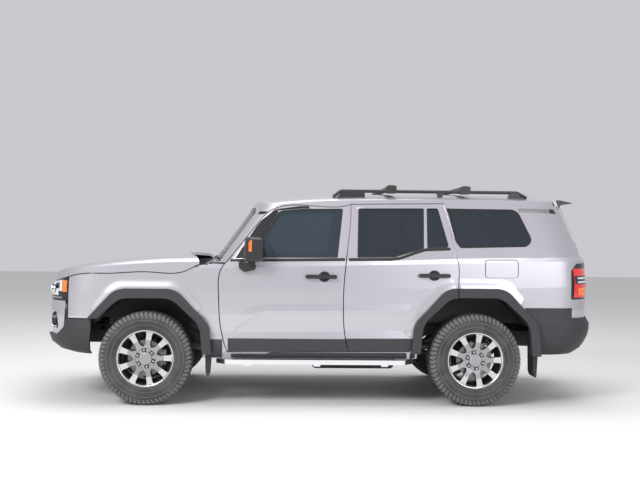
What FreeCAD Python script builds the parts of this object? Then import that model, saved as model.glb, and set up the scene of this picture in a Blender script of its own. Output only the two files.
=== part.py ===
"""Five-door off-road 4x4 on a ladder frame, with side steps, roof rails and two crossbars.

Millimetres. X runs from the nose (-X) to the tail (+X), the driver's side is -Y and Z is up.
The origin lies on the ground under the middle of the car's length and width.
"""
import FreeCAD, Part
import Sketcher
import math
import os
from FreeCAD import Placement, Rotation, Vector

# Driving dimensions: name, value in millimetres (degrees or counts where it says so), meaning
SIZES = (
    ("wheelbase", 2850, "front hub to rear hub"),
    ("front_overhang", 935, "front hub to the bumper's nose"),
    ("rear_overhang", 1140, "rear hub to the rear bumper's tail"),
    ("half_track", 832, "middle plane of a wheel from the car's centre"),
    ("tyre_radius", 401, "outer radius of the tyre, standing"),
    ("tyre_width", 265, "section width of the tyre"),
    ("tread_width", 214, "flat width of the tread"),
    ("bead_radius", 232, "radius where the tyre sits on the rim"),
    ("rim_width", 216, "width of the rim between its outer edges"),
    ("rim_lip", 12, "height of the rim's lip over the bead"),
    ("rim_wall", 9, "wall of the rim's barrel"),
    ("spoke_count", 9, "spokes of a wheel, a count"),
    ("spoke_root", 52, "width of a spoke at the hub"),
    ("spoke_tip", 74, "width of a spoke at the rim"),
    ("spoke_depth", 30, "thickness of a spoke"),
    ("hub_radius", 108, "radius of the wheel's centre"),
    ("hub_neck", 70, "radius of the hub between the wheel and the brake disc"),
    ("stud_circle", 139.7, "pitch circle of the wheel studs"),
    ("stud_count", 6, "wheel studs, a count"),
    ("stud_hole", 8, "radius of a stud hole"),
    ("disc_radius", 169, "radius of the brake disc"),
    ("disc_thickness", 28, "thickness of the brake disc"),
    ("half_width", 946, "body half width at the widest part of the doors"),
    ("trim_half_width", 988, "half width over the wheel arch trims"),
    ("sill_height", 400, "lower edge of the body side"),
    ("cladding_bottom", 468, "lower edge of the door cladding"),
    ("cladding_top", 578, "upper edge of the door cladding"),
    ("crease_height", 800, "lower crease of the body side"),
    ("waist_height", 1000, "widest line of the body side"),
    ("shoulder_height", 1208, "shoulder crease of the body side"),
    ("belt_height", 1256, "lower edge of the side windows"),
    ("belt_half_width", 906, "half width at the belt"),
    ("roof_edge_height", 1752, "upper edge of the doors"),
    ("roof_half_width", 737, "half width at the roof's edge"),
    ("roof_height", 1874, "highest line of the roof"),
    ("roof_panel", 34, "thickness of the roof with its lining"),
    ("skin", 28, "thickness of the flange round a door below the belt"),
    ("frame_skin", 12, "thickness of the flange round a door above the belt"),
    ("seal_gap", 6, "gap behind a door's flange"),
    ("panel_gap", 8, "gap between two outer panels"),
    ("flange_width", 44, "width of the flange round a door"),
    ("pillar_cover", 18, "how far the flange laps over the pillar's edge"),
    ("hinge_setback", 70, "door hinge axis behind the door's front edge"),
    ("hinge_depth", 12, "door hinge axis inside the door's outer face"),
    ("door_thickness", 108, "door thickness below the belt"),
    ("frame_thickness", 50, "door and pillar thickness above the belt"),
    ("glass_depth", 7, "depth of the side glass behind the outer face"),
    ("glass_thickness", 5, "thickness of a window"),
    ("hood_thickness", 26, "thickness of the hood with its inner frame"),
    ("arch_half_width", 500, "half width of a wheel arch at the sill"),
    ("front_arch_top", 920, "top of the front wheel arch"),
    ("rear_arch_top", 946, "top of the rear wheel arch"),
    ("arch_trim", 80, "width of the wheel arch trim"),
    ("arch_lip", 26, "thickness of the wheel arch trim"),
    ("floor_height", 560, "underside of the cabin floor"),
    ("floor_thickness", 40, "thickness of the cabin floor"),
    ("load_floor_height", 800, "top of the load floor"),
    ("rail_height", 110, "height of a frame rail"),
    ("rail_width", 70, "width of a frame rail"),
    ("rail_spread", 445, "centre of a frame rail from the car's centre"),
    ("rail_bottom", 400, "underside of the frame rails between the axles"),
    ("steer_limit", 35, "steering angle at the road wheels each way, degrees"),
    ("kingpin", 740, "steering axis from the car's centre"),
    ("step_length", 1750, "length of a side step"),
    ("step_width", 130, "width of a side step"),
    ("step_height", 40, "height of a side step"),
    ("step_top", 400, "top of a side step"),
    ("roof_rail_spread", 628, "roof rail from the car's centre"),
    ("roof_rail_radius", 15, "radius of a roof rail's bar"),
    ("crossbar_length", 1300, "length of a crossbar between its end caps"),
    ("crossbar_width", 76, "width of a crossbar"),
    ("crossbar_height", 26, "thickness of a crossbar"),
    ("steering_wheel_radius", 190, "radius of the steering wheel's rim"),
)


def make_sheet(doc):
    """Spreadsheet with one alias for each driving dimension."""
    sheet = doc.addObject("Spreadsheet::Sheet", "Sizes")
    for row, (alias, value, meaning) in enumerate(SIZES, start=1):
        sheet.set("A%d" % row, meaning)
        sheet.set("B%d" % row, str(value))
        sheet.setAlias("B%d" % row, alias)
    doc.recompute()
    return sheet


doc = FreeCAD.newDocument("OffRoadCar")
sheet = make_sheet(doc)
size = {alias: float(sheet.get(alias)) for alias, value, meaning in SIZES}

LENGTH = size["front_overhang"] + size["wheelbase"] + size["rear_overhang"]
NOSE = -LENGTH / 2
TAIL = LENGTH / 2
FRONT_HUB = NOSE + size["front_overhang"]
REAR_HUB = TAIL - size["rear_overhang"]
HUB_HEIGHT = size["tyre_radius"]
ROOF_EDGE = size["roof_edge_height"]
BELT = size["belt_height"]
LEFT, RIGHT = -1, 1
FAR = 1200
MIDDLE = 250
SIDES = (("left", LEFT), ("right", RIGHT))

# Places of the panel edges along X, from the hub that they belong to
DOOR_FRONT = FRONT_HUB + 618
B_LINE = FRONT_HUB + 1694
C_LINE = REAR_HUB - 150
WINDSCREEN_BASE = FRONT_HUB + 522
WINDSCREEN_TOP = FRONT_HUB + 888
BACK_BASE = REAR_HUB + 1080
BACK_TOP = REAR_HUB + 916
FIREWALL = FRONT_HUB + 560


def check_shape(shape, name):
    """Stop with the piece's name if its shape is empty or not valid."""
    if shape.isNull() or not shape.isValid() or not shape.Solids:
        raise RuntimeError("piece %s has no valid solid" % name)


nodes = []


def keep(item, name):
    """Name a finished piece."""
    item.Label = name
    nodes.append(item)
    return item


def keep_shape(shape, name):
    """Finished piece from a shape worked out here."""
    check_shape(shape, name)
    item = doc.addObject("Part::Feature", name)
    item.Shape = shape
    return keep(item, name)


class Cell:
    """A length worked out from the sheet: its value and the formula that gives it."""

    def __init__(self, value, formula):
        self.value = value
        self.formula = formula

    def __add__(self, other):
        other = cell(other)
        return Cell(self.value + other.value, "(%s + %s)" % (self.formula, other.formula))

    def __sub__(self, other):
        other = cell(other)
        return Cell(self.value - other.value, "(%s - %s)" % (self.formula, other.formula))

    def __mul__(self, factor):
        return Cell(self.value * factor, "(%s * %s)" % (self.formula, repr(factor)))

    def __neg__(self):
        return self * -1


def cell(item):
    """A size by its name, or a plain number, as a Cell."""
    if isinstance(item, Cell):
        return item
    if isinstance(item, str):
        return Cell(size[item], "Sizes." + item)
    return Cell(float(item), repr(item))


FRONT_X = cell("wheelbase") * -0.5 + (cell("front_overhang") - cell("rear_overhang")) * 0.5
REAR_X = cell("wheelbase") * 0.5 + (cell("front_overhang") - cell("rear_overhang")) * 0.5


def bind(item, **cells):
    """Tie properties of an object to the sheet; x, y and z are its place."""
    for prop, value in cells.items():
        path = {"x": "Placement.Base.x", "y": "Placement.Base.y", "z": "Placement.Base.z"}.get(prop, prop)
        item.setExpression(path, cell(value).formula)
    return item


def block(name, x0, x1, y0, y1, z0, z1):
    """Part box between two corners that are tied to the sheet."""
    item = doc.addObject("Part::Box", name)
    return bind(item, Length=cell(x1) - x0, Width=cell(y1) - y0, Height=cell(z1) - z0, x=x0, y=y0, z=z0)


def cylinder(name, radius, length, x, y, z, axis="Z"):
    """Part cylinder from a point along an axis."""
    item = doc.addObject("Part::Cylinder", name)
    turn = {"X": Rotation(Vector(0, 1, 0), 90), "Y": Rotation(Vector(1, 0, 0), -90), "Z": Rotation()}[axis]
    item.Placement = Placement(Vector(), turn)
    return bind(item, Radius=radius, Height=length, x=x, y=y, z=z)


def fused(name, items):
    """Part fusion of pieces that touch."""
    item = doc.addObject("Part::MultiFuse", name)
    item.Shapes = items
    return item


def without(name, base, tool):
    """Part cut of one piece by another."""
    item = doc.addObject("Part::Cut", name)
    item.Base = base
    item.Tool = tool
    return item


# Shapes from curves

def edge(points):
    """Straight edge through two points, or a smooth curve through more."""
    points = [Vector(*p) for p in points]
    if len(points) == 2:
        return Part.LineSegment(points[0], points[1]).toShape()
    curve = Part.BSplineCurve()
    curve.interpolate(points)
    return curve.toShape()


def outline(*runs):
    """Closed wire of straight and curved runs that share their end points."""
    return Part.Wire([edge(run) for run in runs])


def side_view(*runs):
    """Closed wire in the XZ plane from runs of (x, z) points."""
    return outline(*[[(x, 0, z) for x, z in run] for run in runs])


def chain(points):
    """Runs of a closed polygon."""
    return [[a, b] for a, b in zip(points, points[1:] + points[:1])]


def rounded(points, radius, plane="side"):
    """Closed polygon with rounded corners, seen from the side, from above or from the front."""
    place = {"side": lambda a, b: Vector(a, 0, b), "top": lambda a, b: Vector(a, b, 0),
             "front": lambda a, b: Vector(0, a, b)}[plane]
    corners = [place(*p) for p in points]
    edges = []
    last = None
    first = None
    for i, corner in enumerate(corners):
        before = corners[i - 1]
        after = corners[(i + 1) % len(corners)]
        r = radius[i] if isinstance(radius, (list, tuple)) else radius
        u = (before - corner).normalize()
        v = (after - corner).normalize()
        half = u.getAngle(v) / 2
        if r > 0 and half < math.pi / 2 - 0.01:
            setback = r / math.tan(half)
            a = corner + u * setback
            b = corner + v * setback
            bisector = (u + v).normalize()
            middle = corner + bisector * (r / math.sin(half) - r)
            arc = Part.Arc(a, middle, b).toShape()
        else:
            a = b = corner
            arc = None
        if last is not None and (a - last).Length > 1e-6:
            edges.append(Part.LineSegment(last, a).toShape())
        if arc:
            edges.append(arc)
        if first is None:
            first = a
        last = b
    if (first - last).Length > 1e-6:
        edges.append(Part.LineSegment(last, first).toShape())
    return Part.Wire(edges)


def through(wire, y0, y1):
    """Side view outline pushed through from y0 to y1."""
    face = Part.Face(wire)
    face.translate(Vector(0, y0, 0))
    return face.extrude(Vector(0, y1 - y0, 0))


def grown(wire, distance):
    """Outline grown by a distance, or shrunk by a negative one, with plain splines for its curves."""
    runs = []
    for piece in wire.makeOffset2D(distance).OrderedEdges:
        straight = piece.Curve.TypeId == "Part::GeomLine" or piece.Length < 1
        run = piece.discretize(2 if straight else 15)
        if piece.Orientation == "Reversed":
            run = run[::-1]
        if runs and run[0].distanceToPoint(runs[-1][-1]) > run[-1].distanceToPoint(runs[-1][-1]):
            run = run[::-1]
        runs.append(run)
    edges = []
    for i, run in enumerate(runs):
        run[0] = runs[i - 1][-1]
        if len(run) == 2:
            edges.append(Part.LineSegment(run[0], run[1]).toShape())
        else:
            curve = Part.BSplineCurve()
            curve.interpolate(run)
            edges.append(curve.toShape())
    return Part.Wire(edges)


def box(x0, x1, y0, y1, z0, z1):
    """Block between two corners."""
    return Part.makeBox(x1 - x0, y1 - y0, z1 - z0, Vector(x0, y0, z0))


def both_sides(shape):
    """The shape together with its mirror image across the car's centre."""
    return Part.makeCompound([shape, mirrored(shape)])


def mirrored(shape):
    """Mirror image across the car's centre."""
    return shape.mirror(Vector(0, 0, 0), Vector(0, 1, 0))


def one_side(shape, side):
    """The shape, which is made on the left, or its mirror image for the right."""
    return shape if side == LEFT else mirrored(shape)


def joined(*shapes):
    """One shape of several that touch."""
    first = shapes[0].fuse(list(shapes[1:]))
    return first.removeSplitter()


def tube(points, radius, bend=0):
    """Round bar along straight runs, with tangent bends at the points between them."""
    path = bent_path(points, bend)
    start = Vector(*points[0])
    direction = Vector(*points[1]) - start
    profile = Part.Wire(Part.makeCircle(radius, start, direction))
    return path.makePipeShell([profile], True, False, 2)


def bent_path(points, bend):
    """Wire of straight runs joined by arcs."""
    corners = [Vector(*p) for p in points]
    edges = []
    last = corners[0]
    for before, corner, after in zip(corners, corners[1:], corners[2:]):
        u = (before - corner).normalize()
        v = (after - corner).normalize()
        half = u.getAngle(v) / 2
        setback = bend / math.tan(half)
        a = corner + u * setback
        b = corner + v * setback
        middle = corner + (u + v).normalize() * (bend / math.sin(half) - bend)
        edges.append(Part.LineSegment(last, a).toShape())
        edges.append(Part.Arc(a, middle, b).toShape())
        last = b
    edges.append(Part.LineSegment(last, corners[-1]).toShape())
    return Part.Wire(edges)


# The body's surface

QUARTER = ((0.0, 0.0), (0.06, 0.42), (0.34, 0.76), (1.0, 0.935), (2.5, 0.985))


def plan(height, half, nose, tail, front_corner, rear_corner, rise):
    """Closed outline seen from above, which climbs towards the tail by rise."""
    front = [(nose + a * front_corner, b * half) for a, b in QUARTER]
    rear = [(tail - a * rear_corner, b * half) for a, b in QUARTER]
    points = front + [((nose + tail) / 2, half)] + rear[::-1]
    halves = []
    for side in (LEFT, RIGHT):
        curve = Part.BSplineCurve()
        run = [Vector(x, side * y, height + rise * x) for x, y in points]
        curve.interpolate(run, InitialTangent=Vector(0, side, 0), FinalTangent=Vector(0, -side, 0))
        halves.append(curve.toShape())
    return Part.Wire(halves)


# Levels of the lower body: height, half width less the widest, nose, tail, rise to the tail
LEVELS = (
    (size["sill_height"], -46, NOSE + 95, TAIL - 110, 0.004),
    (size["cladding_bottom"], -12, NOSE + 60, TAIL - 70, 0.010),
    (size["cladding_top"], -12, NOSE + 30, TAIL - 50, 0.018),
    (size["cladding_top"] + 62, -24, NOSE + 22, TAIL - 42, 0.018),
    (size["crease_height"], -2, NOSE + 12, TAIL - 38, 0.018),
    (size["waist_height"], 0, NOSE + 22, TAIL - 36, 0.020),
    (size["shoulder_height"], -8, NOSE + 66, TAIL - 44, 0.028),
    (size["belt_height"], size["belt_half_width"] - size["half_width"], NOSE + 80, TAIL - 60, 0.023),
)
FRONT_CORNER = 250
REAR_CORNER = 215


def lower_body(inset):
    """Solid of the body below the belt, its faces moved in by inset."""
    wires = [plan(z, size["half_width"] + d - inset, nose + inset, tail - inset,
                  FRONT_CORNER, REAR_CORNER, rise) for z, d, nose, tail, rise in LEVELS]
    return Part.makeLoft(wires, True, True)


def upper_body(inset):
    """Solid of the windows and pillars, its faces moved in by inset, up past the roof."""
    z0, z1 = size["belt_height"], size["roof_edge_height"]
    low = (size["belt_half_width"], WINDSCREEN_BASE, BACK_BASE, 150, 250)
    high = (size["roof_half_width"], WINDSCREEN_TOP, BACK_TOP, 130, 220)
    wires = []
    for z in (z0 - 80, z1 + 170):
        part = (z - z0) / (z1 - z0)
        half, nose, tail, front, rear = [a + (b - a) * part for a, b in zip(low, high)]
        wires.append(plan(z, half - inset, nose + 1.25 * inset, tail - inset, front, rear, 0.023 * (1 - part)))
    return Part.makeLoft(wires, True, True)


ROOF_STATIONS = ((-640, 1786), (-500, 1806), (-250, 1834), (100, 1856), (700, 1871), (1300, 1874),
                 (1750, 1868), (2000, 1850), (2260, 1812))
ROOF_SECTION = ((1.0, 0.0), (0.965, 0.34), (0.86, 0.64), (0.62, 0.86), (0.3, 0.97), (0.0, 1.0))


def crown(drop):
    """Solid under the roof's crowned surface, lowered by drop."""
    wires = []
    half = size["roof_half_width"] + 34
    for x, top in ROOF_STATIONS:
        top = top + size["roof_height"] - 1874 - drop
        edge_z = top - 135
        run = [(x, b * half, edge_z + a * (top - edge_z)) for b, a in ROOF_SECTION]
        over = [(px, -py, pz) for px, py, pz in run] + [p for p in run[::-1]][1:]
        floor = size["belt_height"] - 200
        wires.append(outline(over, [over[-1], (x, half, floor)], [(x, half, floor), (x, -half, floor)],
                             [(x, -half, floor), over[0]]))
    return Part.makeLoft(wires, True, False)



def whole_body(low, high):
    """Solid of the whole body, its faces moved in by low below the belt and by high above it."""
    return lower_body(low).fuse(upper_body(high))


SEAT = size["seal_gap"]
outer = whole_body(0, 0)
flange_back = whole_body(size["skin"], size["frame_skin"])
pillar_front = whole_body(size["skin"] + SEAT, size["frame_skin"] + SEAT)
cabin = whole_body(size["door_thickness"], size["frame_thickness"])
over_roof = box(ROOF_STATIONS[0][0], 2600, -FAR, FAR, ROOF_EDGE - 100, 2100).cut(crown(size["roof_panel"]))

door_flange = outer.cut(flange_back)
door_core = flange_back.cut(cabin)
body_flange = outer.cut(pillar_front).cut(over_roof)
body_core = pillar_front.cut(cabin).cut(over_roof)


def half_slab(wire, side):
    """Outline pushed through one side of the car."""
    if side == LEFT:
        return through(wire, -FAR, -MIDDLE)
    return through(wire, MIDDLE, FAR)


def arch_wire(hub, top, grow=0, low=300):
    """Side view of a wheel arch, grown by a distance; its low edge stays."""
    half = size["arch_half_width"] + grow
    high = top + grow
    return rounded([(hub - half, low), (hub - 0.93 * half, top - 230), (hub - 0.44 * half, high),
                    (hub + 0.44 * half, high), (hub + 0.93 * half, top - 230), (hub + half, low)],
                   [0, 190, 190, 190, 190, 0])


ARCHES = ((FRONT_HUB, size["front_arch_top"]), (REAR_HUB, size["rear_arch_top"]))

DOOR_FOOT = size["cladding_bottom"] - 4

FRONT_EDGE_RUN = [(DOOR_FRONT + 62, BELT - 24), (DOOR_FRONT + 14, BELT - 96), (DOOR_FRONT, BELT - 296),
                  (DOOR_FRONT + 16, BELT - 556), (DOOR_FRONT + 76, DOOR_FOOT)]
B_RUN = [(B_LINE + 50, DOOR_FOOT + 6), (B_LINE + 14, BELT - 624), (B_LINE, BELT - 396), (B_LINE + 5, BELT - 200),
         (B_LINE + 24, BELT - 6), (B_LINE + 50, BELT + 197), (B_LINE + 72, ROOF_EDGE)]
C_RUN = [(C_LINE - 12, BELT - 322), (C_LINE, BELT - 106), (C_LINE - 3, BELT - 26), (C_LINE - 35, BELT + 104),
         (C_LINE - 62, BELT + 296), (C_LINE - 112, ROOF_EDGE + 16)]

front_door_wire = side_view(
    FRONT_EDGE_RUN, [FRONT_EDGE_RUN[-1], B_RUN[0]], B_RUN,
    [B_RUN[-1], (B_LINE - 380, ROOF_EDGE - 12), (B_LINE - 596, ROOF_EDGE - 44), (B_LINE - 724, ROOF_EDGE - 150)],
    [(B_LINE - 724, ROOF_EDGE - 150), FRONT_EDGE_RUN[0]])
REAR_ARCH_GAP = 6
arch_half = size["arch_half_width"] + REAR_ARCH_GAP
rear_door_wire = side_view(
    B_RUN, [B_RUN[-1], C_RUN[-1]], C_RUN[::-1],
    [C_RUN[0], (REAR_HUB - 250, size["rear_arch_top"] - 28), (REAR_HUB - 380, BELT - 428),
     (REAR_HUB - 0.96 * arch_half, size["rear_arch_top"] - 240), (REAR_HUB - arch_half - 4, DOOR_FOOT + 10)],
    [(REAR_HUB - arch_half - 4, DOOR_FOOT + 10), B_RUN[0]])
DOOR_WIRES = (("front", front_door_wire), ("rear", rear_door_wire))

GLASS_TOP = ROOF_EDGE - 40
front_glass_wire = rounded([(B_LINE - 810, BELT + 16), (B_LINE - 560, GLASS_TOP - 26), (B_LINE - 370, GLASS_TOP - 6),
                            (B_LINE + 2, GLASS_TOP), (B_LINE - 50, BELT + 24)], [14, 60, 200, 12, 12])
rear_glass_wire = rounded([(B_LINE + 136, GLASS_TOP + 4), (C_LINE - 286, GLASS_TOP + 12), (C_LINE - 300, BELT + 110),
                           (C_LINE - 420, BELT + 74), (C_LINE - 560, BELT + 32), (B_LINE + 120, BELT + 26)],
                          [12, 12, 14, 90, 120, 12])
small_glass_wire = rounded([(C_LINE - 262, GLASS_TOP + 12), (C_LINE - 162, GLASS_TOP + 14), (C_LINE - 76, BELT + 122),
                            (C_LINE - 272, BELT + 114)], [10, 24, 24, 10])
quarter_glass_wire = rounded([(C_LINE - 84, GLASS_TOP + 14), (C_LINE + 550, GLASS_TOP + 12), (C_LINE + 668, BELT + 190),
                              (C_LINE + 610, BELT + 136), (C_LINE + 20, BELT + 118), (C_LINE - 20, BELT + 180)],
                             [16, 90, 60, 60, 40, 40])
DOOR_GLASSES = {"front": [front_glass_wire], "rear": [rear_glass_wire, small_glass_wire]}


# Doors

GAP = size["panel_gap"] / 2


def door_panel(wire, glasses):
    """Left door: an outer flange, the thicker core behind it and the window openings."""
    flange = door_flange.common(half_slab(grown(wire, -GAP), LEFT))
    core = door_core.common(half_slab(grown(wire, -size["flange_width"]), LEFT))
    door = flange.fuse(core)
    for glass in glasses:
        door = door.cut(half_slab(glass, LEFT))
    return door


def window_glass(wire):
    """Left side window, a little behind the outer face."""
    depth = size["glass_depth"]
    layer = upper_body(depth).cut(upper_body(depth + size["glass_thickness"]))
    return layer.common(half_slab(grown(wire, -0.3), LEFT))


def cladding(wire, low, high, proud):
    """Band on the lower body side, which stands proud of it."""
    band = lower_body(-proud).cut(lower_body(0))
    band = band.common(box(-2600, 2600, -FAR, -MIDDLE, low, high))
    return band.common(half_slab(wire, LEFT))


def skin_y(x, z):
    """Outer face of the left side at a place below the belt."""
    ray = Part.LineSegment(Vector(x, -FAR, z), Vector(x, 0, z)).toShape()
    return ray.common(outer).BoundBox.YMin


def handle(x0, z):
    """Left door handle: a bar on two feet in front of its cup."""
    length, height, reach = 272, 34, 44
    face = skin_y(x0 + length / 2, z)
    bar = through(rounded([(x0, z), (x0 + length, z), (x0 + length, z + height), (x0, z + height)], 15),
                  face - reach, face - reach + 18)
    feet = [box(x, x + 34, face - reach + 10, face + 12, z + 6, z + height - 6).cut(outer)
            for x in (x0 + 6, x0 + length - 40)]
    return joined(bar, *feet)


def mirror_head():
    """Left door mirror: the foot on the door and the head on it."""
    x0 = DOOR_FRONT + 214
    z0 = BELT - 8
    face = skin_y(x0 + 60, BELT - 40)
    head = Part.makeLoft([rounded([(x0, z0), (x0 + 168, z0 + 4), (x0 + 182, z0 + 196), (x0 + 30, z0 + 204)], 34)
                          .translated(Vector(0, face - 62, 0)),
                          rounded([(x0 - 4, z0 - 10), (x0 + 170, z0 - 8), (x0 + 182, z0 + 200), (x0 + 16, z0 + 206)], 40)
                          .translated(Vector(0, face - 130, 0)),
                          rounded([(x0 + 22, z0 + 12), (x0 + 160, z0 + 10), (x0 + 172, z0 + 180), (x0 + 52, z0 + 186)], 36)
                          .translated(Vector(0, face - 214, 0))], True, False)
    foot = through(rounded([(x0 - 50, z0 - 6), (x0 + 110, z0 - 26), (x0 + 100, z0 - 78), (x0 + 10, z0 - 98),
                            (x0 - 34, z0 - 70)], 20), face - 70, face + 30)
    neck = box(x0 + 40, x0 + 100, face - 96, face - 40, z0 - 40, z0 + 20)
    return joined(foot.cut(outer), neck, head)


def arch_ring(hub, top, low):
    """Left trim round a wheel arch, down to the height low ahead of the wheel."""
    ring = through(arch_wire(hub, top, size["arch_trim"]), -size["trim_half_width"], -880)
    ring = ring.cut(through(arch_wire(hub, top), -FAR, 0)).cut(outer)
    front_part = box(hub - 700, hub - 100, -FAR, 0, 200, low)
    return ring.cut([front_part, box(-2600, 2600, -FAR, 0, 200, DOOR_FOOT - 20)])


front_ring, rear_ring = [arch_ring(hub, top, low) for (hub, top), low in zip(ARCHES, (742, 440))]
ARCH_SPLIT = C_LINE - 12
rear_door_arch = rear_ring.common(box(REAR_HUB - 700, ARCH_SPLIT - GAP, -FAR, 0, DOOR_FOOT - 4, 1200))


def front_trim():
    band = cladding(grown(front_door_wire, -GAP), DOOR_FOOT - 40, size["cladding_top"], 12)
    band = band.cut(box(DOOR_FRONT - 50, DOOR_FRONT + 84, -FAR, 0, 300, 700))
    return Part.makeCompound([band, handle(B_LINE - 330, BELT - 156), mirror_head()])


def rear_trim():
    band = cladding(grown(rear_door_wire, -GAP), DOOR_FOOT - 40, size["cladding_top"] + 6, 12)
    return Part.makeCompound([band.fuse(rear_door_arch), handle(C_LINE - 354, BELT - 138)])


TRIMS = {"front": front_trim, "rear": rear_trim}
for place, wire in DOOR_WIRES:
    panel = door_panel(wire, DOOR_GLASSES[place])
    glass = Part.makeCompound([window_glass(w) for w in DOOR_GLASSES[place]])
    trim = TRIMS[place]()
    for name, side in SIDES:
        keep_shape(one_side(panel, side), "%s_door_%s" % (place, name))
        keep_shape(one_side(glass, side), "%s_door_glass_%s" % (place, name))
        keep_shape(one_side(trim, side), "%s_door_trim_%s" % (place, name))


# Body shell, fenders, roof and tailgate

FRONT_CUT = FRONT_HUB - 655
SILL_LOW = 402
HOOD_EDGE = [(NOSE - 60, 1052), (FRONT_CUT - 40, 1090), (FRONT_CUT + 70, 1119), (FRONT_HUB - 320, 1131),
             (FRONT_HUB + 28, 1146), (FRONT_HUB + 344, 1162), (FRONT_HUB + 424, 1204), (FRONT_HUB + 520, 1212)]
hood_zone_wire = side_view(HOOD_EDGE, [HOOD_EDGE[-1], (FRONT_HUB + 520, 1500)],
                           [(FRONT_HUB + 520, 1500), (NOSE - 60, 1500)], [(NOSE - 60, 1500), HOOD_EDGE[0]])
hood_zone = through(hood_zone_wire, -FAR, FAR)
cowl_front = FRONT_HUB + 314
arches = [through(arch_wire(hub, top), -FAR, FAR) for hub, top in ARCHES]
arch_cavities = [through(arch_wire(hub, top, 14), -FAR, -500) for hub, top in ARCHES]
arch_cavities = arch_cavities + [mirrored(c) for c in arch_cavities]
TAILGATE_EDGE = REAR_HUB + 750
TAILGATE_FOOT = 872
BUMPER_TOP = 860
STEP_TOP = 770

tailgate_wire = rounded([(-690, TAILGATE_FOOT), (690, TAILGATE_FOOT), (716, BELT - 40), (700, BELT + 40),
                         (584, ROOF_EDGE + 120), (-584, ROOF_EDGE + 120), (-700, BELT + 40), (-716, BELT - 40)],
                        [60, 60, 0, 80, 0, 0, 80, 0], "front")


def lengthwise(wire, x0, x1):
    """Front view outline pushed through from x0 to x1."""
    face = Part.Face(wire)
    face.translate(Vector(x0, 0, 0))
    return face.extrude(Vector(x1 - x0, 0, 0))


tailgate_hole = lengthwise(tailgate_wire, REAR_HUB + 720, 2600)
FUEL_DOOR = rounded([(REAR_HUB + 84, 1120), (REAR_HUB + 366, 1122), (REAR_HUB + 366, 1274), (REAR_HUB + 84, 1272)], 28)
LATCH = (REAR_HUB + 340, REAR_HUB + 354, 1180, 1210)


TAIL_LAMP = rounded([(REAR_HUB + 846, 936), (TAIL, 936), (TAIL, 1262), (REAR_HUB + 900, 1250), (REAR_HUB + 846, 1190)],
                    [10, 0, 0, 10, 16])
LAMP_REACH = 640


def tail_lamp_layer(gap):
    """Left corner of the body that a tail lamp fills, wider by a gap."""
    deep = 90 + gap
    return through(grown(TAIL_LAMP, gap), -FAR, gap - LAMP_REACH).cut(whole_body(deep, deep))


DOOR_CORNER = Part.makeCylinder(7, FAR, Vector(B_LINE + 72, -FAR, ROOF_EDGE), Vector(0, 1, 0))


def hinge_place(x):
    """Axis of a door hinge behind the door edge at x."""
    axis_x = x + size["hinge_setback"]
    return axis_x, skin_y(axis_x, size["waist_height"]) + size["hinge_depth"]


def hinge_rooms():
    """Cylinders in which the front edges of the left doors turn."""
    rooms = []
    for x in (DOOR_FRONT, B_LINE):
        axis_x, axis_y = hinge_place(x)
        rooms.append(Part.makeCylinder(size["hinge_setback"] + 14, 900, Vector(axis_x, axis_y, 420)))
    return rooms


def windscreen_hole(margin):
    """Room for the windscreen between its pillars, seen from the front."""
    frame = rounded([(-792 + margin, BELT - 70), (792 - margin, BELT - 70), (655 - margin, ROOF_EDGE - 40),
                     (-655 + margin, ROOF_EDGE - 40)], [60, 60, 90, 90], "front")
    return lengthwise(frame, -1300, -420)


def without_slivers(shape):
    """Compound of a shape's solids, less those that are smaller than a tenth of a cubic centimetre."""
    return Part.makeCompound([solid for solid in shape.Solids if solid.Volume > 100])


def body_shell():
    """Pillars, sills and quarter panels: the left half and its mirror image."""
    half = box(FIREWALL, 2600, -FAR, 0, SILL_LOW, 2100)
    doors = [half_slab(grown(wire, GAP), LEFT) for place, wire in DOOR_WIRES]
    cores = [half_slab(grown(wire, size["pillar_cover"] - size["flange_width"]), LEFT) for place, wire in DOOR_WIRES]
    ahead = through(side_view([(FIREWALL - 300, 300), (FIREWALL - 300, BELT - 24)],
                              [(FIREWALL - 300, BELT - 24), FRONT_EDGE_RUN[0]], FRONT_EDGE_RUN,
                              [FRONT_EDGE_RUN[-1], (DOOR_FRONT + 76, 300)],
                              [(DOOR_FRONT + 76, 300), (FIREWALL - 300, 300)]), -FAR, -MIDDLE)
    behind_trim = through(arch_wire(REAR_HUB, size["rear_arch_top"], size["arch_trim"] + GAP), -FAR, -MIDDLE)
    behind_trim = behind_trim.common(box(REAR_HUB - 700, ARCH_SPLIT, -FAR, 0, 300, 1200))
    skin = without_slivers(body_flange.common(half).cut(doors + [ahead, behind_trim, DOOR_CORNER]))
    frame_room = box(B_LINE + 20, B_LINE + 70, -FAR, -848, 1310, 1384)
    core = body_core.common(half).cut(cores + hinge_rooms() + [frame_room])
    bumper_room = box(REAR_HUB + 429.7, REAR_HUB + 856.3, -FAR, FAR, 300, BUMPER_TOP + 0.3)
    bumper_room = bumper_room.fuse(box(REAR_HUB + 856, 2600, -FAR, FAR, 300, STEP_TOP + 0.3))
    left = skin.fuse(core).cut([half_slab(quarter_glass_wire, LEFT), windscreen_hole(0), arch_cavities[0],
                                arch_cavities[1], hood_zone, tailgate_hole, bumper_room])
    left = left.cut(tail_lamp_layer(0.3)).fuse(shell_stops())
    shell = left.fuse(mirrored(left))
    pocket = outer.cut(whole_body(22, 22)).common(half_slab(grown(FUEL_DOOR, 6.5), LEFT))
    x0, x1, z0, z1 = LATCH
    face = max(skin_y(x, z) for x in (x0, x1) for z in (z0, z1))
    return shell.cut(pocket).fuse(box(x0, x1, face + 8.3, face + 30, z0, z1))


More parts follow.
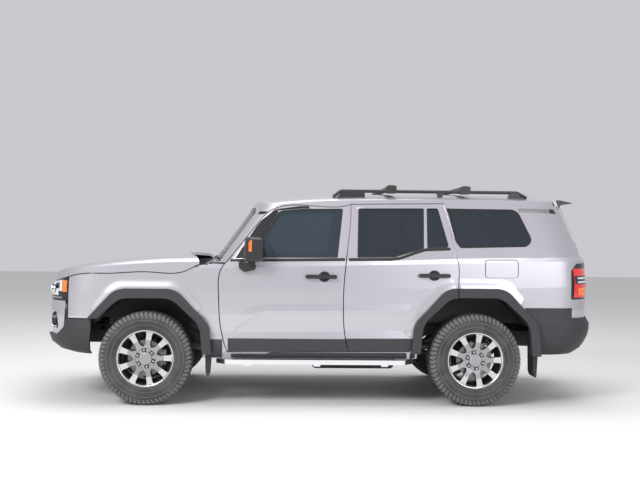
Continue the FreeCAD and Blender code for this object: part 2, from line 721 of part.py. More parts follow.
def shell_stops():
    """Rocker with its lip under the floor, the load sill and the door stops of the left half."""
    rocker = box(FIREWALL + 10, REAR_HUB - 580, -830, -780, 440, 490)
    lip = box(FIREWALL + 10, REAR_HUB - 580, -803, -780, 480, size["floor_height"] - 0.3)
    sill = box(REAR_HUB + 900, TAIL, -700, 0, size["load_floor_height"] + 0.3, TAILGATE_FOOT - 1)
    sill = sill.common(lower_body(86)).fuse(box(REAR_HUB + 980, TAIL - 110, -690, 0, BUMPER_TOP + 1, TAILGATE_FOOT - 1))
    seal = lower_body(size["skin"] + 0.3).cut(lower_body(size["skin"] + SEAT + 1))
    places = (box(B_LINE - 26, B_LINE - 16, -FAR, -MIDDLE, 980, 1040),
              box(C_LINE - 30, C_LINE - 16, -FAR, -MIDDLE, 1040, 1100))
    return [rocker, lip, sill] + [seal.common(place) for place in places]


def floor_pan():
    """Cabin floor, heel board, load floor and firewall, as wide as the inner walls."""
    low = size["floor_height"]
    thick = size["floor_thickness"]
    load = size["load_floor_height"]
    x1 = REAR_HUB - 560
    x2 = REAR_HUB + 950
    profile = rounded([(FIREWALL, low), (x1, low), (x1 + 90, load - thick), (x2, load - thick), (x2, load),
                       (x1 + 60, load), (x1 - 40, low + thick), (FIREWALL + 26, low + thick),
                       (FIREWALL + 26, 1190), (FIREWALL, 1190)], 0)
    width = size["half_width"] - size["door_thickness"] - 18
    return through(profile, -width, width)


floor = floor_pan().cut(arch_cavities)
door_side = box(FIREWALL - 1, C_LINE + 12, -FAR, -803, 500, size["load_floor_height"] + 1)
inner_floor = floor.common(cabin).cut([door_side, mirrored(door_side)])
shell = body_shell()
keep_shape(shell, "body_shell")
keep_shape(inner_floor, "floor_pan")

roof = upper_body(0).common(crown(0)).cut(crown(size["roof_panel"] - 0.5))
roof = roof.common(box(-700, TAILGATE_EDGE - 2, -FAR, FAR, 1600, 2100))
door_rooms = [half_slab(grown(wire, GAP), LEFT) for place, wire in DOOR_WIRES]
door_rooms.append(DOOR_CORNER)
roof = roof.cut(door_rooms + [mirrored(room) for room in door_rooms])
keep_shape(roof, "roof_panel")

LAMP_LOW, LAMP_HIGH = 884.3, 1088
LAMP_BACK = FRONT_CUT - 12.3
LAMP_INNER = 548.3


def fenders():
    """Front fenders from the lamps to the doors."""
    skin = outer.cut(whole_body(30, 30))
    skin = skin.common(box(FRONT_CUT - 12, DOOR_FRONT + 75.7, -FAR, FAR, SILL_LOW, 1215))
    shut = half_slab(grown(front_door_wire, GAP), LEFT)
    upper_hood = hood_zone.copy()
    upper_hood.translate(Vector(0, 0, -size["panel_gap"]))
    skin = skin.cut([shut, mirrored(shut), upper_hood] + arches)
    skin = skin.cut(box(-2600, FRONT_HUB - 400, -FAR, FAR, 300, 742))
    skin = skin.cut(box(FRONT_CUT - 100, DOOR_FRONT + 100, -600, 600, 300, 1300))
    return skin


keep_shape(fenders(), "front_fenders")


HOOD_STATIONS = ((NOSE - 40, 985, 1010), (NOSE + 22, 1016, 1050), (NOSE + 68, 1048, 1092), (NOSE + 122, 1066, 1130),
                 (NOSE + 210, 1082, 1170), (NOSE + 360, 1100, 1217), (NOSE + 560, 1112, 1252),
                 (NOSE + 860, 1124, 1284), (NOSE + 1160, 1140, 1300), (NOSE + 1440, 1154, 1304))


def evenly(stations, count):
    """Stations at even steps, on smooth runs through the given ones that never overshoot them."""
    steps = list(zip(stations, stations[1:]))
    slopes = [[(b[k] - a[k]) / (b[0] - a[0]) for a, b in steps] for k in (1, 2)]
    found = []
    for i in range(count):
        x = stations[0][0] + (stations[-1][0] - stations[0][0]) * i / (count - 1)
        n = max(k for k in range(len(steps)) if stations[k][0] <= x + 1e-6)
        a, b = steps[n]
        wide = b[0] - a[0]
        t = (x - a[0]) / wide
        values = []
        for k, run in zip((1, 2), slopes):
            ends = []
            for m in (n, n + 1):
                before, after = run[max(m - 1, 0)], run[min(m, len(run) - 1)]
                ends.append(2 * before * after / (before + after) if before * after > 0 else 0)
            values.append(a[k] * (1 + 2 * t) * (1 - t) ** 2 + b[k] * t * t * (3 - 2 * t)
                          + wide * (ends[0] * t * (1 - t) ** 2 - ends[1] * t * t * (1 - t)))
        found.append((x, values[0], values[1]))
    return found


def hood_surface(drop):
    """Solid under the hood's crowned top, lowered by drop."""
    half = size["half_width"] + 14
    section = ((1.0, 0.0), (0.987, 0.38), (0.93, 0.69), (0.78, 0.875), (0.5, 0.95), (0.0, 1.0))
    wires = []
    for x, low, top in evenly(HOOD_STATIONS, 17):
        run = [(x, b * half, low - drop + a * (top - low)) for b, a in section]
        over = [(px, -py, pz) for px, py, pz in run] + run[::-1][1:]
        wires.append(outline(over, [over[-1], (x, half, 700)], [(x, half, 700), (x, -half, 700)],
                             [(x, -half, 700), over[0]]))
    return Part.makeLoft(wires, True, False)


def hood_shape():
    """Hood: crowned panel with its turned-down sides."""
    solids = []
    for inset in (0, size["hood_thickness"]):
        rim = plan(1000, size["half_width"] - 3 - inset, NOSE + 58 + inset, TAIL, FRONT_CORNER, REAR_CORNER, 0)
        solids.append(hood_surface(inset).common(Part.Face(rim).extrude(Vector(0, 0, 400))))
    shell = solids[0].common(hood_zone).cut(solids[1])
    return shell.cut(Part.makeCylinder(2936, 800, Vector(cowl_front + 2936 - 12, 0, 900)))


keep_shape(hood_shape(), "hood")

cowl_zone = side_view([(cowl_front - 30, 1150), (FRONT_HUB + 646, 1150)],
                      [(FRONT_HUB + 646, 1150), (FRONT_HUB + 646, 1214), (FRONT_HUB + 560, 1222),
                       (cowl_front - 30, 1232)],
                      [(cowl_front - 30, 1232), (cowl_front - 30, 1150)])
cowl = through(cowl_zone, -830, 830).common(Part.makeCylinder(2936 - 12, 800, Vector(cowl_front + 2936 - 12, 0, 900)))
cowl = cowl.cut(box(FIREWALL - 2, 0, -FAR, FAR, 900, 1192)).cut(upper_body(-1)).cut(shell)
keep_shape(cowl, "cowl")


def fixed_glass():
    """Windscreen, tailored to its opening, and the two quarter windows."""
    depth = size["glass_depth"]
    layer = upper_body(depth).cut(upper_body(depth + size["glass_thickness"])).cut(over_roof)
    screen = layer.common(windscreen_hole(0.3)).common(box(-1200, -400, -FAR, FAR, 1226, 2000))
    quarter = window_glass(quarter_glass_wire)
    return screen, quarter


screen, quarter = fixed_glass()
keep_shape(Part.makeCompound([screen, both_sides(quarter)]), "fixed_glass")

# Tailgate

def tailgate_layers():
    gate = lengthwise(grown(tailgate_wire, -size["panel_gap"]), REAR_HUB + 720, 2600)
    narrow = lengthwise(grown(tailgate_wire, -size["panel_gap"] - 20), REAR_HUB + 720, 2600)
    edge = whole_body(14, 14)
    skin = outer.cut(edge).common(gate).fuse(edge.cut(whole_body(70, 60)).common(narrow))
    skin = skin.common(box(TAILGATE_EDGE + 6, 2600, -FAR, FAR, 800, 2100))
    skin = skin.common(upper_body(0).common(crown(0)).fuse(lower_body(0)))
    window = rounded([(-640, BELT + 96), (640, BELT + 96), (540, ROOF_EDGE - 42), (-540, ROOF_EDGE - 42)],
                     [70, 70, 60, 60], "front")
    hole = lengthwise(window, REAR_HUB + 720, 2600)
    depth = size["glass_depth"]
    pane = upper_body(depth).cut(upper_body(depth + size["glass_thickness"]))
    pane = pane.common(lengthwise(grown(window, -0.3), REAR_HUB + 720, 2600))
    return skin.cut(hole), pane


gate, pane = tailgate_layers()
keep_shape(gate, "tailgate")
keep_shape(pane, "tailgate_glass")

spoiler_profile = side_view([(TAILGATE_EDGE + 14, 1806), (TAILGATE_EDGE + 50, 1819), (TAILGATE_EDGE + 130, 1812),
                             (TAILGATE_EDGE + 198, 1797)],
                            [(TAILGATE_EDGE + 198, 1797), (TAILGATE_EDGE + 196, 1789)],
                            [(TAILGATE_EDGE + 196, 1789), (TAILGATE_EDGE + 130, 1785), (TAILGATE_EDGE + 80, 1766)],
                            [(TAILGATE_EDGE + 80, 1766), (TAILGATE_EDGE + 14, 1806)])
spoiler = through(spoiler_profile, -570, 570).cut(outer)
keep_shape(spoiler, "spoiler")

# Bumpers, grille and lamps


def front_view_slab(y0, y1, z0, z1, radius, x0=NOSE - 40, x1=NOSE + 420):
    """Rounded opening seen from the front, pushed through the nose."""
    return lengthwise(rounded([(y0, z0), (y1, z0), (y1, z1), (y0, z1)], radius, "front"), x0, x1)


FASCIA_LOW, FASCIA_HIGH = 586, 884
GRILLE_HALF = 548


def front_fascia():
    """Painted bumper cover: the bar under the grille and the pods at its ends."""
    layer = outer.cut(whole_body(44, 44))
    side = through(rounded([(NOSE - 60, FASCIA_LOW), (NOSE + 150, FASCIA_LOW), (NOSE + 226, FASCIA_LOW + 76),
                            (FRONT_CUT - 40, FASCIA_HIGH), (NOSE - 60, FASCIA_HIGH)], [0, 20, 20, 0, 0]), -FAR, FAR)
    cover = layer.common(side)
    cover = cover.cut(front_view_slab(-540, 540, 560, 742, 24))
    for y in (-790, 650):
        cover = cover.cut(front_view_slab(y, y + 140, 640, 800, 26))
    return cover.cut(front_view_slab(-440, 440, 850, 900, 14))


keep_shape(front_fascia(), "front_bumper")

GUARD = ((424, 852, NOSE + 190), (456, 905, NOSE + 96), (520, 934, NOSE + 22), (584, 946, NOSE + 1),
         (660, 947, NOSE + 0.5), (736, 942, NOSE + 8))


def guard_loft(inset):
    wires = [plan(z, half - inset, nose + inset, TAIL - 60, FRONT_CORNER, REAR_CORNER, 0) for z, half, nose in GUARD]
    return Part.makeLoft(wires, True, True)


def front_guard():
    """Dark lower bumper, from one front arch round to the other."""
    shape = guard_loft(0).cut(guard_loft(46)).common(box(NOSE - 60, FRONT_HUB - 468, -FAR, FAR, 400, 734))
    shape = shape.cut(arches)
    shape = shape.cut(front_view_slab(-530, 530, 566, 800, 26, x1=NOSE + 130))
    pods = grown(rounded([(NOSE - 60, FASCIA_LOW), (NOSE + 150, FASCIA_LOW), (NOSE + 226, FASCIA_LOW + 76),
                          (FRONT_CUT - 40, FASCIA_HIGH), (NOSE - 60, FASCIA_HIGH)], [0, 20, 20, 0, 0]), 0.3)
    shape = shape.cut(through(pods, -FAR, FAR))
    rail_end = FRONT_HUB - 760
    spread = size["rail_spread"]
    horns = [box(NOSE, rail_end - 0.3, y - 30, y + 30, 500, 560).common(guard_loft(20)) for y in (-spread, spread)]
    return joined(shape, *horns)


keep_shape(front_guard(), "front_guard")
guard_wall = guard_loft(-0.3).cut(guard_loft(46.3)).common(box(NOSE - 60, FRONT_HUB - 467.7, -FAR, FAR, 400, 734.3))


def grille():
    """Upper grille between the lamps: a frame and its bars."""
    layer = outer.cut(whole_body(40, 40))
    layer = layer.common(front_view_slab(-GRILLE_HALF, GRILLE_HALF, FASCIA_HIGH + 0.3, 1050, 30))
    bars = []
    for i in range(4):
        z = 912 + 34 * i
        bars.append(front_view_slab(-500, 500, z, z + 20, 8))
    shelf = box(NOSE + 40, NOSE + 210, -500, 500, 1037, 1049).common(flange_back)
    stops = [Part.makeCylinder(14, 120, Vector(NOSE + 176, y, 1040)) for y in (-400, 400)]
    stops = [stop.common(hood_surface(size["hood_thickness"] + 0.3)) for stop in stops]
    return joined(layer.cut(bars), shelf, *stops)


keep_shape(grille(), "grille")


def headlamps():
    layer = outer.cut(whole_body(120, 120))
    lamp = through(rounded([(NOSE - 60, LAMP_LOW), (LAMP_BACK, LAMP_LOW), (LAMP_BACK, LAMP_HIGH - 4),
                            (NOSE - 60, 1040)], [0, 16, 30, 0]), -FAR, -LAMP_INNER)
    hood_room = hood_zone.copy()
    hood_room.translate(Vector(0, 0, -size["panel_gap"]))
    return layer.common(lamp).cut(hood_room)


keep_shape(both_sides(headlamps()), "headlamps")

REAR_BUMPER = ((446, 872, TAIL - 140), (496, 915, TAIL - 76), (548, 938, TAIL - 44), (610, 946, TAIL - 14),
               (668, 948, TAIL - 1), (716, 948, TAIL - 0.5), (768, 946, TAIL - 30), (856, 944, TAIL - 60))


def rear_loft(inset):
    wires = [plan(z, half - inset, NOSE + 60, tail - inset, FRONT_CORNER, REAR_CORNER, 0) for z, half, tail in REAR_BUMPER]
    return Part.makeLoft(wires, True, True)


def rear_bumper():
    """Dark rear bumper with its step."""
    shape = rear_loft(0).cut(rear_loft(60)).common(box(REAR_HUB + 430, TAIL + 40, -FAR, FAR, 400, BUMPER_TOP))
    shape = shape.cut(through(arch_wire(REAR_HUB, size["rear_arch_top"], 10), -FAR, FAR))
    upper_corner = through(rounded([(REAR_HUB + 856, STEP_TOP), (TAIL + 60, STEP_TOP), (TAIL + 60, 900),
                                    (REAR_HUB + 856, 900)], 0),
                           -FAR, FAR)
    step = rear_loft(0).common(box(REAR_HUB + 960, TAIL + 40, -860, 860, 744, STEP_TOP))
    spread = size["rail_spread"]
    horns = [box(REAR_HUB + 974.3, TAIL, y - 30, y + 30, 540, 600).common(rear_loft(20)) for y in (-spread, spread)]
    return joined(shape.cut(upper_corner), step, *horns)


keep_shape(rear_bumper(), "rear_bumper")


tail_lamp = through(TAIL_LAMP, -FAR, -LAMP_REACH).common(outer).cut(whole_body(90, 90))
tail_lamp = tail_lamp.cut(lengthwise(grown(tailgate_wire, 1), REAR_HUB + 720, 2600))
keep_shape(both_sides(tail_lamp), "tail_lamps")


rear_ring = rear_ring.common(box(ARCH_SPLIT + GAP, REAR_HUB + 700, -FAR, 0, 300, 1200))
rear_ring = rear_ring.cut(rear_loft(-1).common(box(REAR_HUB + 400, 2600, -FAR, FAR, 300, BUMPER_TOP)))
front_ring = front_ring.cut(half_slab(grown(front_door_wire, GAP), LEFT))
keep_shape(both_sides(Part.makeCompound([front_ring, rear_ring])), "arch_trims")

# Wheels, made round Y with the outer face towards -Y


def sketch_on(body, role, name):
    """Sketch on one of the body's own origin planes."""
    drawing = body.newObject("Sketcher::SketchObject", name)
    plane = [f for f in body.Origin.OriginFeatures if f.Role == role][0]
    drawing.AttachmentSupport = [(plane, "")]
    drawing.MapMode = "FlatFace"
    return drawing


def polygon_in(drawing, corners):
    """Closed polygon whose corners are tied to the sheet."""
    corners = [(cell(a), cell(b)) for a, b in corners]
    count = len(corners)
    for i in range(count):
        (a, b), (c, d) = corners[i], corners[(i + 1) % count]
        drawing.addGeometry(Part.LineSegment(Vector(a.value, b.value, 0), Vector(c.value, d.value, 0)), False)
    for i in range(count):
        drawing.addConstraint(Sketcher.Constraint("Coincident", i, 2, (i + 1) % count, 1))
    for i, (a, b) in enumerate(corners):
        for kind, value in (("DistanceX", a), ("DistanceY", b)):
            if value.value < 0:
                number = drawing.addConstraint(Sketcher.Constraint(kind, i, 1, -1, 1, -value.value))
                value = -value
            else:
                number = drawing.addConstraint(Sketcher.Constraint(kind, -1, 1, i, 1, value.value))
            drawing.setExpression("Constraints[%d]" % number, value.formula)


def turned(body, name, corners):
    """Revolution of a polygon of (across, radius) corners round the wheel's axle."""
    drawing = sketch_on(body, "YZ_Plane", name + "_profile")
    polygon_in(drawing, corners)
    feature = body.newObject("PartDesign::Revolution", name)
    feature.Profile = drawing
    feature.ReferenceAxis = (drawing, ["H_Axis"])
    feature.Angle = 360
    body.Tip = feature
    return feature


def make_tyre(body):
    """Tyre: sidewalls from the beads to the shoulders and the tread."""
    half = cell("tyre_width") * 0.5
    tread = cell("tread_width") * 0.5
    bead = cell("bead_radius")
    out = cell("tyre_radius")
    rim = cell("rim_width") * 0.5
    seat = [(rim - 7.3, bead), (rim - 6.4, bead + "rim_lip" + 0.4), (half - 9, bead + 42), (half, bead + 92),
            (half - 5, bead + 122), (tread + 6, out - 10), (tread - 22, out - 2)]
    inside = [(tread - 10, out - 20), (half - 32, bead + 60), (rim - 24, bead + 4)]
    corners = [(-a, r) for a, r in seat] + [(cell(0), out)] + seat[::-1]
    corners += inside[::-1] + [(-a, r) for a, r in inside]
    turned(body, "tyre_ring", corners)


def make_rim(body):
    """Rim with its barrel, spokes and centre, which carries the brake disc and the hub."""
    half = cell("rim_width") * 0.5
    bead = cell("bead_radius")
    wall = cell("rim_wall")
    lip = cell("rim_lip")
    barrel = [(-half, bead + lip), (-half, bead - wall - 2), (-half + 40, bead - wall - 16), (half - 26, bead - wall - 16),
              (half, bead - wall), (half, bead + lip), (half - 5, bead + lip), (half - 6, bead - 1),
              (half - 22, bead - 1), (half - 30, bead - 12), (-half + 40, bead - 12), (-half + 24, bead - 1),
              (-half + 7, bead - 1), (-half + 6, bead + lip)]
    turned(body, "barrel", barrel)
    face = -half + 12
    back = face + "spoke_depth"
    turned(body, "centre", [(face + 6, cell(0)), (face + 6, cell("hub_radius")), (back + 8, cell("hub_radius")),
                            (back + 8, cell(0))])
    drawing = sketch_on(body, "XZ_Plane", "spoke_profile")
    drawing.AttachmentOffset = Placement(Vector(0, 0, half.value - 12), Rotation())
    drawing.setExpression("AttachmentOffset.Base.z", (half - 12).formula)
    root = cell("spoke_root") * 0.5
    tip = cell("spoke_tip") * 0.5
    reach = bead - wall - 6
    polygon_in(drawing, [(-root, cell("hub_radius") - 14), (root, cell("hub_radius") - 14), (tip, reach), (-tip, reach)])
    spoke = body.newObject("PartDesign::Pad", "spoke")
    spoke.Profile = drawing
    spoke.setExpression("Length", "Sizes.spoke_depth")
    spoke.Reversed = True
    body.Tip = spoke
    pattern = body.newObject("PartDesign::PolarPattern", "spokes")
    pattern.Originals = [spoke]
    pattern.Axis = (body.Origin.OriginFeatures[1], [""])
    pattern.Angle = 360
    pattern.setExpression("Occurrences", "Sizes.spoke_count")
    body.Tip = pattern
    disc = cell("disc_radius")
    inner = back + 8
    neck = cell("hub_neck")
    turned(body, "disc_and_hub", [(inner - 4, neck), (inner + 22, neck),
                                  (inner + 22, disc), (inner + 50, disc), (inner + 50, cell(30)), (inner - 4, cell(30))])


WHEELS = [(end, name, x, side) for end, x in (("front", FRONT_X), ("rear", REAR_X)) for name, side in SIDES]


def place_wheel(body, x, side):
    """Set a wheel piece at its hub, turned so that its outer face is outboard."""
    if side == RIGHT:
        body.Placement = Placement(Vector(), Rotation(Vector(0, 0, 1), 180))
    bind(body, x=x, y=cell("half_track") * side, z="tyre_radius")


for end, name, x, side in WHEELS:
    for kind, make in (("tyre", make_tyre), ("rim", make_rim)):
        body = doc.addObject("PartDesign::Body", "%s_%s_%s" % (end, kind, name))
        make(body)
        place_wheel(body, x, side)
        keep(body, "%s_%s_%s" % (end, kind, name))

# Frame, axles and running gear

FLOOR = cell("floor_height")
RAIL_LOW = cell("rail_bottom")
RAIL_TOP = cell("rail_height")
HUB_Z = cell("tyre_radius")


def frame_rail(body, side):
    """Box rail that climbs over both axles, padded across its width."""
    low = [(FRONT_X - 760, RAIL_LOW + 90), (FRONT_X - 400, RAIL_LOW + 90), (FRONT_X - 270, RAIL_LOW + 160),
           (FRONT_X + 300, RAIL_LOW + 160), (FRONT_X + 520, RAIL_LOW), (REAR_X - 580, RAIL_LOW),
           (REAR_X - 360, RAIL_LOW + 178), (REAR_X + 300, RAIL_LOW + 178), (REAR_X + 460, RAIL_LOW + 110),
           (REAR_X + 974, RAIL_LOW + 110)]
    high = [(x, z + "rail_height") for x, z in low[::-1]]
    drawing = sketch_on(body, "XZ_Plane", "rail_profile")
    polygon_in(drawing, low + high)
    pad = body.newObject("PartDesign::Pad", "rail")
    pad.Profile = drawing
    pad.setExpression("Length", "Sizes.rail_width")
    pad.Midplane = True
    body.Tip = pad
    bind(body, y=cell("rail_spread") * side)


rails = []
for name, side in SIDES:
    rail = doc.addObject("PartDesign::Body", "frame_rail_" + name)
    frame_rail(rail, side)
    rails.append(rail)

inner = cell("rail_spread") - cell("rail_width") * 0.5 + 2
CROSS = ((FRONT_X - 660, 60, RAIL_LOW + 110, 70), (FRONT_X + 110, 90, RAIL_LOW + 175, 54.7),
         (FRONT_X + 1000, 90, RAIL_LOW + 2, 47.7), (REAR_X - 700, 90, RAIL_LOW + 60, 46),
         (REAR_X + 90, 60, RAIL_LOW + 215, 60), (REAR_X + 964, 34, RAIL_LOW + 120, 80))
members = [block("cross_member_%d" % i, x, x + wide, -inner, inner, z, z + tall)
           for i, (x, wide, z, tall) in enumerate(CROSS)]
mounts = []
for name, side in SIDES:
    y = cell("rail_spread") * side
    for label, x, z in (("front", FRONT_X + 700, RAIL_LOW), ("middle", FRONT_X + 1500, RAIL_LOW)):
        mounts.append(cylinder("body_mount_%s_%s" % (label, name), 38, FLOOR - z - RAIL_TOP + 0.7,
                               x, y, z + RAIL_TOP - 1))
    mounts.append(cylinder("body_mount_rear_" + name, 38, cell("load_floor_height") - "floor_thickness"
                           - RAIL_LOW - 178 - RAIL_TOP + 0.7, REAR_X + 200, y, RAIL_LOW + 177 + RAIL_TOP))
frame = keep(fused("LadderFrame", rails + members + mounts), "ladder_frame")

engine = keep(block("Engine", FRONT_X - 420, FRONT_X + 240, -300, 300, RAIL_LOW + 230, RAIL_LOW + 720), "engine_block")
bell = doc.addObject("Part::Cone", "BellHousing")
bell.Placement = Placement(Vector(), Rotation(Vector(0, 1, 0), 90))
bind(bell, Radius1=cell(150), Radius2=cell(110), Height=cell(277), x=FRONT_X + 240.3, y=cell(0), z=RAIL_LOW + 240)
gearbox = cylinder("Gearbox", 72, cell(520), FRONT_X + 420, 0, RAIL_LOW + 76, "X")
transfer = block("TransferBox", FRONT_X + 930, FRONT_X + 1250, -150, 110, RAIL_LOW + 50, RAIL_LOW + 150)
rear_shaft = cylinder("RearShaft", 34, REAR_X - 190.3 - (FRONT_X + 1247), FRONT_X + 1247, 0, RAIL_LOW + 20, "X")
front_shaft = cylinder("FrontShaft", 26, cell(950), FRONT_X + 40, -120, RAIL_LOW + 32, "X")
front_diff = cylinder("FrontDifferential", 105, cell(190), FRONT_X - 150, -60, HUB_Z, "X")
half_shafts = [cylinder("half_shaft_" + name, 22, cell("kingpin") - 170, FRONT_X, (170 if side == RIGHT else
               cell("kingpin") * -1), HUB_Z, "Y") for name, side in SIDES]
diff_cover = cylinder("DifferentialCover", 60, cell(340), FRONT_X, -170, HUB_Z, "Y")
driveline = keep(fused("Driveline", [bell, gearbox, transfer, front_shaft, rear_shaft, front_diff, diff_cover]
                       + half_shafts), "driveline")


def rear_axle():
    """Live rear axle: tubes, differential, brake calipers and the links' brackets."""
    half = cell("half_track") + 7.7
    axle_tube = cylinder("AxleTube", 42, half * 2 - 8 * 2, REAR_X, -half + 8, HUB_Z, "Y")
    case = doc.addObject("Part::Sphere", "DifferentialCase")
    bind(case, Radius=cell(142), x=REAR_X, y=cell(0), z=HUB_Z)
    nose = cylinder("PinionNose", 62, cell(80), REAR_X - 190, 0, HUB_Z, "X")
    pieces = [axle_tube, case, nose]
    for name, side in SIDES:
        flange_y = half - 20 if side == RIGHT else -half
        pieces.append(cylinder("axle_flange_" + name, 60, cell(20), REAR_X, flange_y, HUB_Z, "Y"))
        seat = cell("rail_spread") * side
        pieces.append(cylinder("spring_seat_" + name, 66, cell(40), REAR_X, seat, HUB_Z + 30))
        inner_y = half - 64 if side == RIGHT else -half + 8
        pieces.append(block("caliper_" + name, REAR_X + 40, REAR_X + 110, inner_y, inner_y + 56,
                            HUB_Z - 40, HUB_Z + 40))
    return fused("RearAxle", pieces)


keep(rear_axle(), "rear_axle")


def coil(x, y, z0, z1, radius, wire, turns):
    """Coil spring with its axis upright."""
    helix = Part.makeHelix((z1 - z0) / turns, z1 - z0, radius)
    start = Vector(radius, 0, 0)
    ring = Part.Wire(Part.makeCircle(wire, start, Vector(0, 1, 0)))
    spring = Part.Wire(helix).makePipeShell([ring], True, True)
    spring.translate(Vector(x, y, z0))
    return spring


def rear_suspension():
    """Rear springs, dampers and lower links."""
    pieces = []
    y = size["rail_spread"]
    seat = HUB_HEIGHT + 70
    roof = size["rail_bottom"] + 178
    spring = coil(REAR_HUB, -y, seat + 8, roof - 8, 52, 7.5, 4)
    pads = [Part.makeCylinder(60, 15, Vector(REAR_HUB, -y, seat + 0.3)),
            Part.makeCylinder(60, 15, Vector(REAR_HUB, -y, roof - 15.3))]
    pieces.append(joined(spring, *pads))
    axle = Part.makeCylinder(42.3, 2 * FAR, Vector(REAR_HUB, -FAR, HUB_HEIGHT), Vector(0, 1, 0))
    rail_face = -y - size["rail_width"] / 2
    damper = tube([(REAR_HUB + 90, -620, HUB_HEIGHT - 60), (REAR_HUB + 130, -560, HUB_HEIGHT + 300)], 26)
    foot = box(REAR_HUB + 20, REAR_HUB + 100, -640, -604, HUB_HEIGHT - 52, HUB_HEIGHT - 24)
    hold = box(REAR_HUB + 95, REAR_HUB + 140, -585, rail_face - 0.3, 604, 644)
    pieces.append(joined(damper, foot.cut(axle), hold))
    link = tube([(REAR_HUB - 572, -350, size["rail_bottom"] + 40), (REAR_HUB - 44, -540, HUB_HEIGHT - 40)], 24)
    bush = Part.makeCylinder(34, 70, Vector(REAR_HUB - 572, rail_face + size["rail_width"] + 0.3,
                                            size["rail_bottom"] + 40), Vector(0, 1, 0))
    pieces.append(joined(link.cut(axle), bush))
    return both_sides(Part.makeCompound(pieces))


keep_shape(rear_suspension(), "rear_suspension")

BALL_LOW = HUB_HEIGHT - 152
BALL_HIGH = HUB_HEIGHT + 150
TIE_LOW = HUB_HEIGHT - 86
TIE_END = size["half_track"] - 52.3


def knuckle():
    """Left steering knuckle with its ball joints, steering arm and brake caliper."""
    hub_face = -(size["half_track"] + 7.7)
    upright = box(FRONT_HUB - 46, FRONT_HUB + 46, hub_face + 26, hub_face + 62, BALL_LOW + 4, BALL_HIGH - 4)
    carrier = Part.makeCylinder(64, 70, Vector(FRONT_HUB, hub_face, HUB_HEIGHT), Vector(0, 1, 0))
    ends = [box(FRONT_HUB - 26, FRONT_HUB + 26, hub_face + 40, -size["kingpin"] + 26, z, z + 26)
            for z in (BALL_LOW - 2, BALL_HIGH - 24)]
    arm = box(FRONT_HUB + 30, FRONT_HUB + 140, hub_face + 40, hub_face + 80, TIE_LOW - 30, TIE_LOW - 6)
    caliper = box(FRONT_HUB + 116, FRONT_HUB + 172, hub_face - 48, hub_face + 44, HUB_HEIGHT - 56, HUB_HEIGHT + 70)
    slot = Part.makeCylinder(size["disc_radius"] + 4, size["disc_thickness"] + 7,
                             Vector(FRONT_HUB, hub_face - 32, HUB_HEIGHT), Vector(0, 1, 0))
    bracket = box(FRONT_HUB + 30, FRONT_HUB + 130, hub_face + 30, hub_face + 52, HUB_HEIGHT - 40, HUB_HEIGHT + 40)
    stud = Part.makeCylinder(10, 8, Vector(FRONT_HUB + 126, -TIE_END, TIE_LOW - 8.3))
    return joined(upright, carrier, *ends, arm, stud, caliper.cut(slot), bracket)


for name, side in SIDES:
    keep_shape(one_side(knuckle(), side), "knuckle_" + name)


def wishbone(z, reach, wide, root):
    """Left suspension arm from the ball joint to its two bushes at the frame."""
    tip = -size["kingpin"] - 34
    plate = Part.Face(rounded([(FRONT_HUB - 34, tip), (FRONT_HUB + 34, tip), (FRONT_HUB + 66, -610),
                               (FRONT_HUB + reach, root), (FRONT_HUB - reach, root), (FRONT_HUB - 66, -610)],
                              [20, 20, 0, 0, 0, 0], "top"))
    window = Part.Face(rounded([(FRONT_HUB, -640), (FRONT_HUB + reach - wide, root - 30),
                                (FRONT_HUB - reach + wide, root - 30)], 16, "top"))
    plate = plate.cut(window)
    plate.translate(Vector(0, 0, z))
    return plate.extrude(Vector(0, 0, 26))


def front_suspension():
    """Left arms and the coil spring over its damper."""
    rail_face = -size["rail_spread"] - size["rail_width"] / 2
    rail_low = size["rail_bottom"] + 160
    low = wishbone(BALL_LOW - 34, 250, 60, -420)
    high = wishbone(BALL_HIGH + 6, 150, 40, rail_face - 0.3)
    hangers = [box(FRONT_HUB + x, FRONT_HUB + x + 60, -480, -420, BALL_LOW - 34, rail_low - 0.3) for x in (-252, 192)]
    damper_x = FRONT_HUB + 80
    foot = Vector(damper_x, -600, BALL_LOW - 10)
    top = Vector(damper_x, -528, size["rail_bottom"] + 330)
    rod = tube([tuple(foot), tuple(top)], 24)
    sleeve = tube([tuple(foot + (top - foot) * 0.3), tuple(foot + (top - foot) * 0.92)], 52)
    balls = [Part.makeCylinder(16, 8, Vector(FRONT_HUB, -size["kingpin"], z)) for z in (BALL_LOW - 10.3, BALL_HIGH + 2.3)]
    rail_top = rail_low + size["rail_height"]
    tower = [box(damper_x - 40, damper_x + 40, -556, -420, top.z - 34, top.z - 8),
             box(damper_x - 40, damper_x + 40, -474, -420, rail_top + 0.3, top.z - 20)]
    return [joined(low, *hangers, rod, sleeve, balls[0], *tower), joined(high, balls[1]).cut(sleeve)]




def tie_rods():
    """Rack bar with its two tie rods, which lie just over the knuckles' steering arms."""
    x = FRONT_HUB + 126
    z = TIE_LOW
    end = TIE_END
    bar = tube([(x, -end, z + 12), (x, end, z + 12)], 11)
    eyes = [Part.makeCylinder(15, 24, Vector(x, y, z)) for y in (-end, end)]
    boots = [Part.makeCylinder(30, 120, Vector(x, y, z + 12), Vector(0, 1, 0)) for y in (-370, 250)]
    return joined(bar, *eyes, *boots)


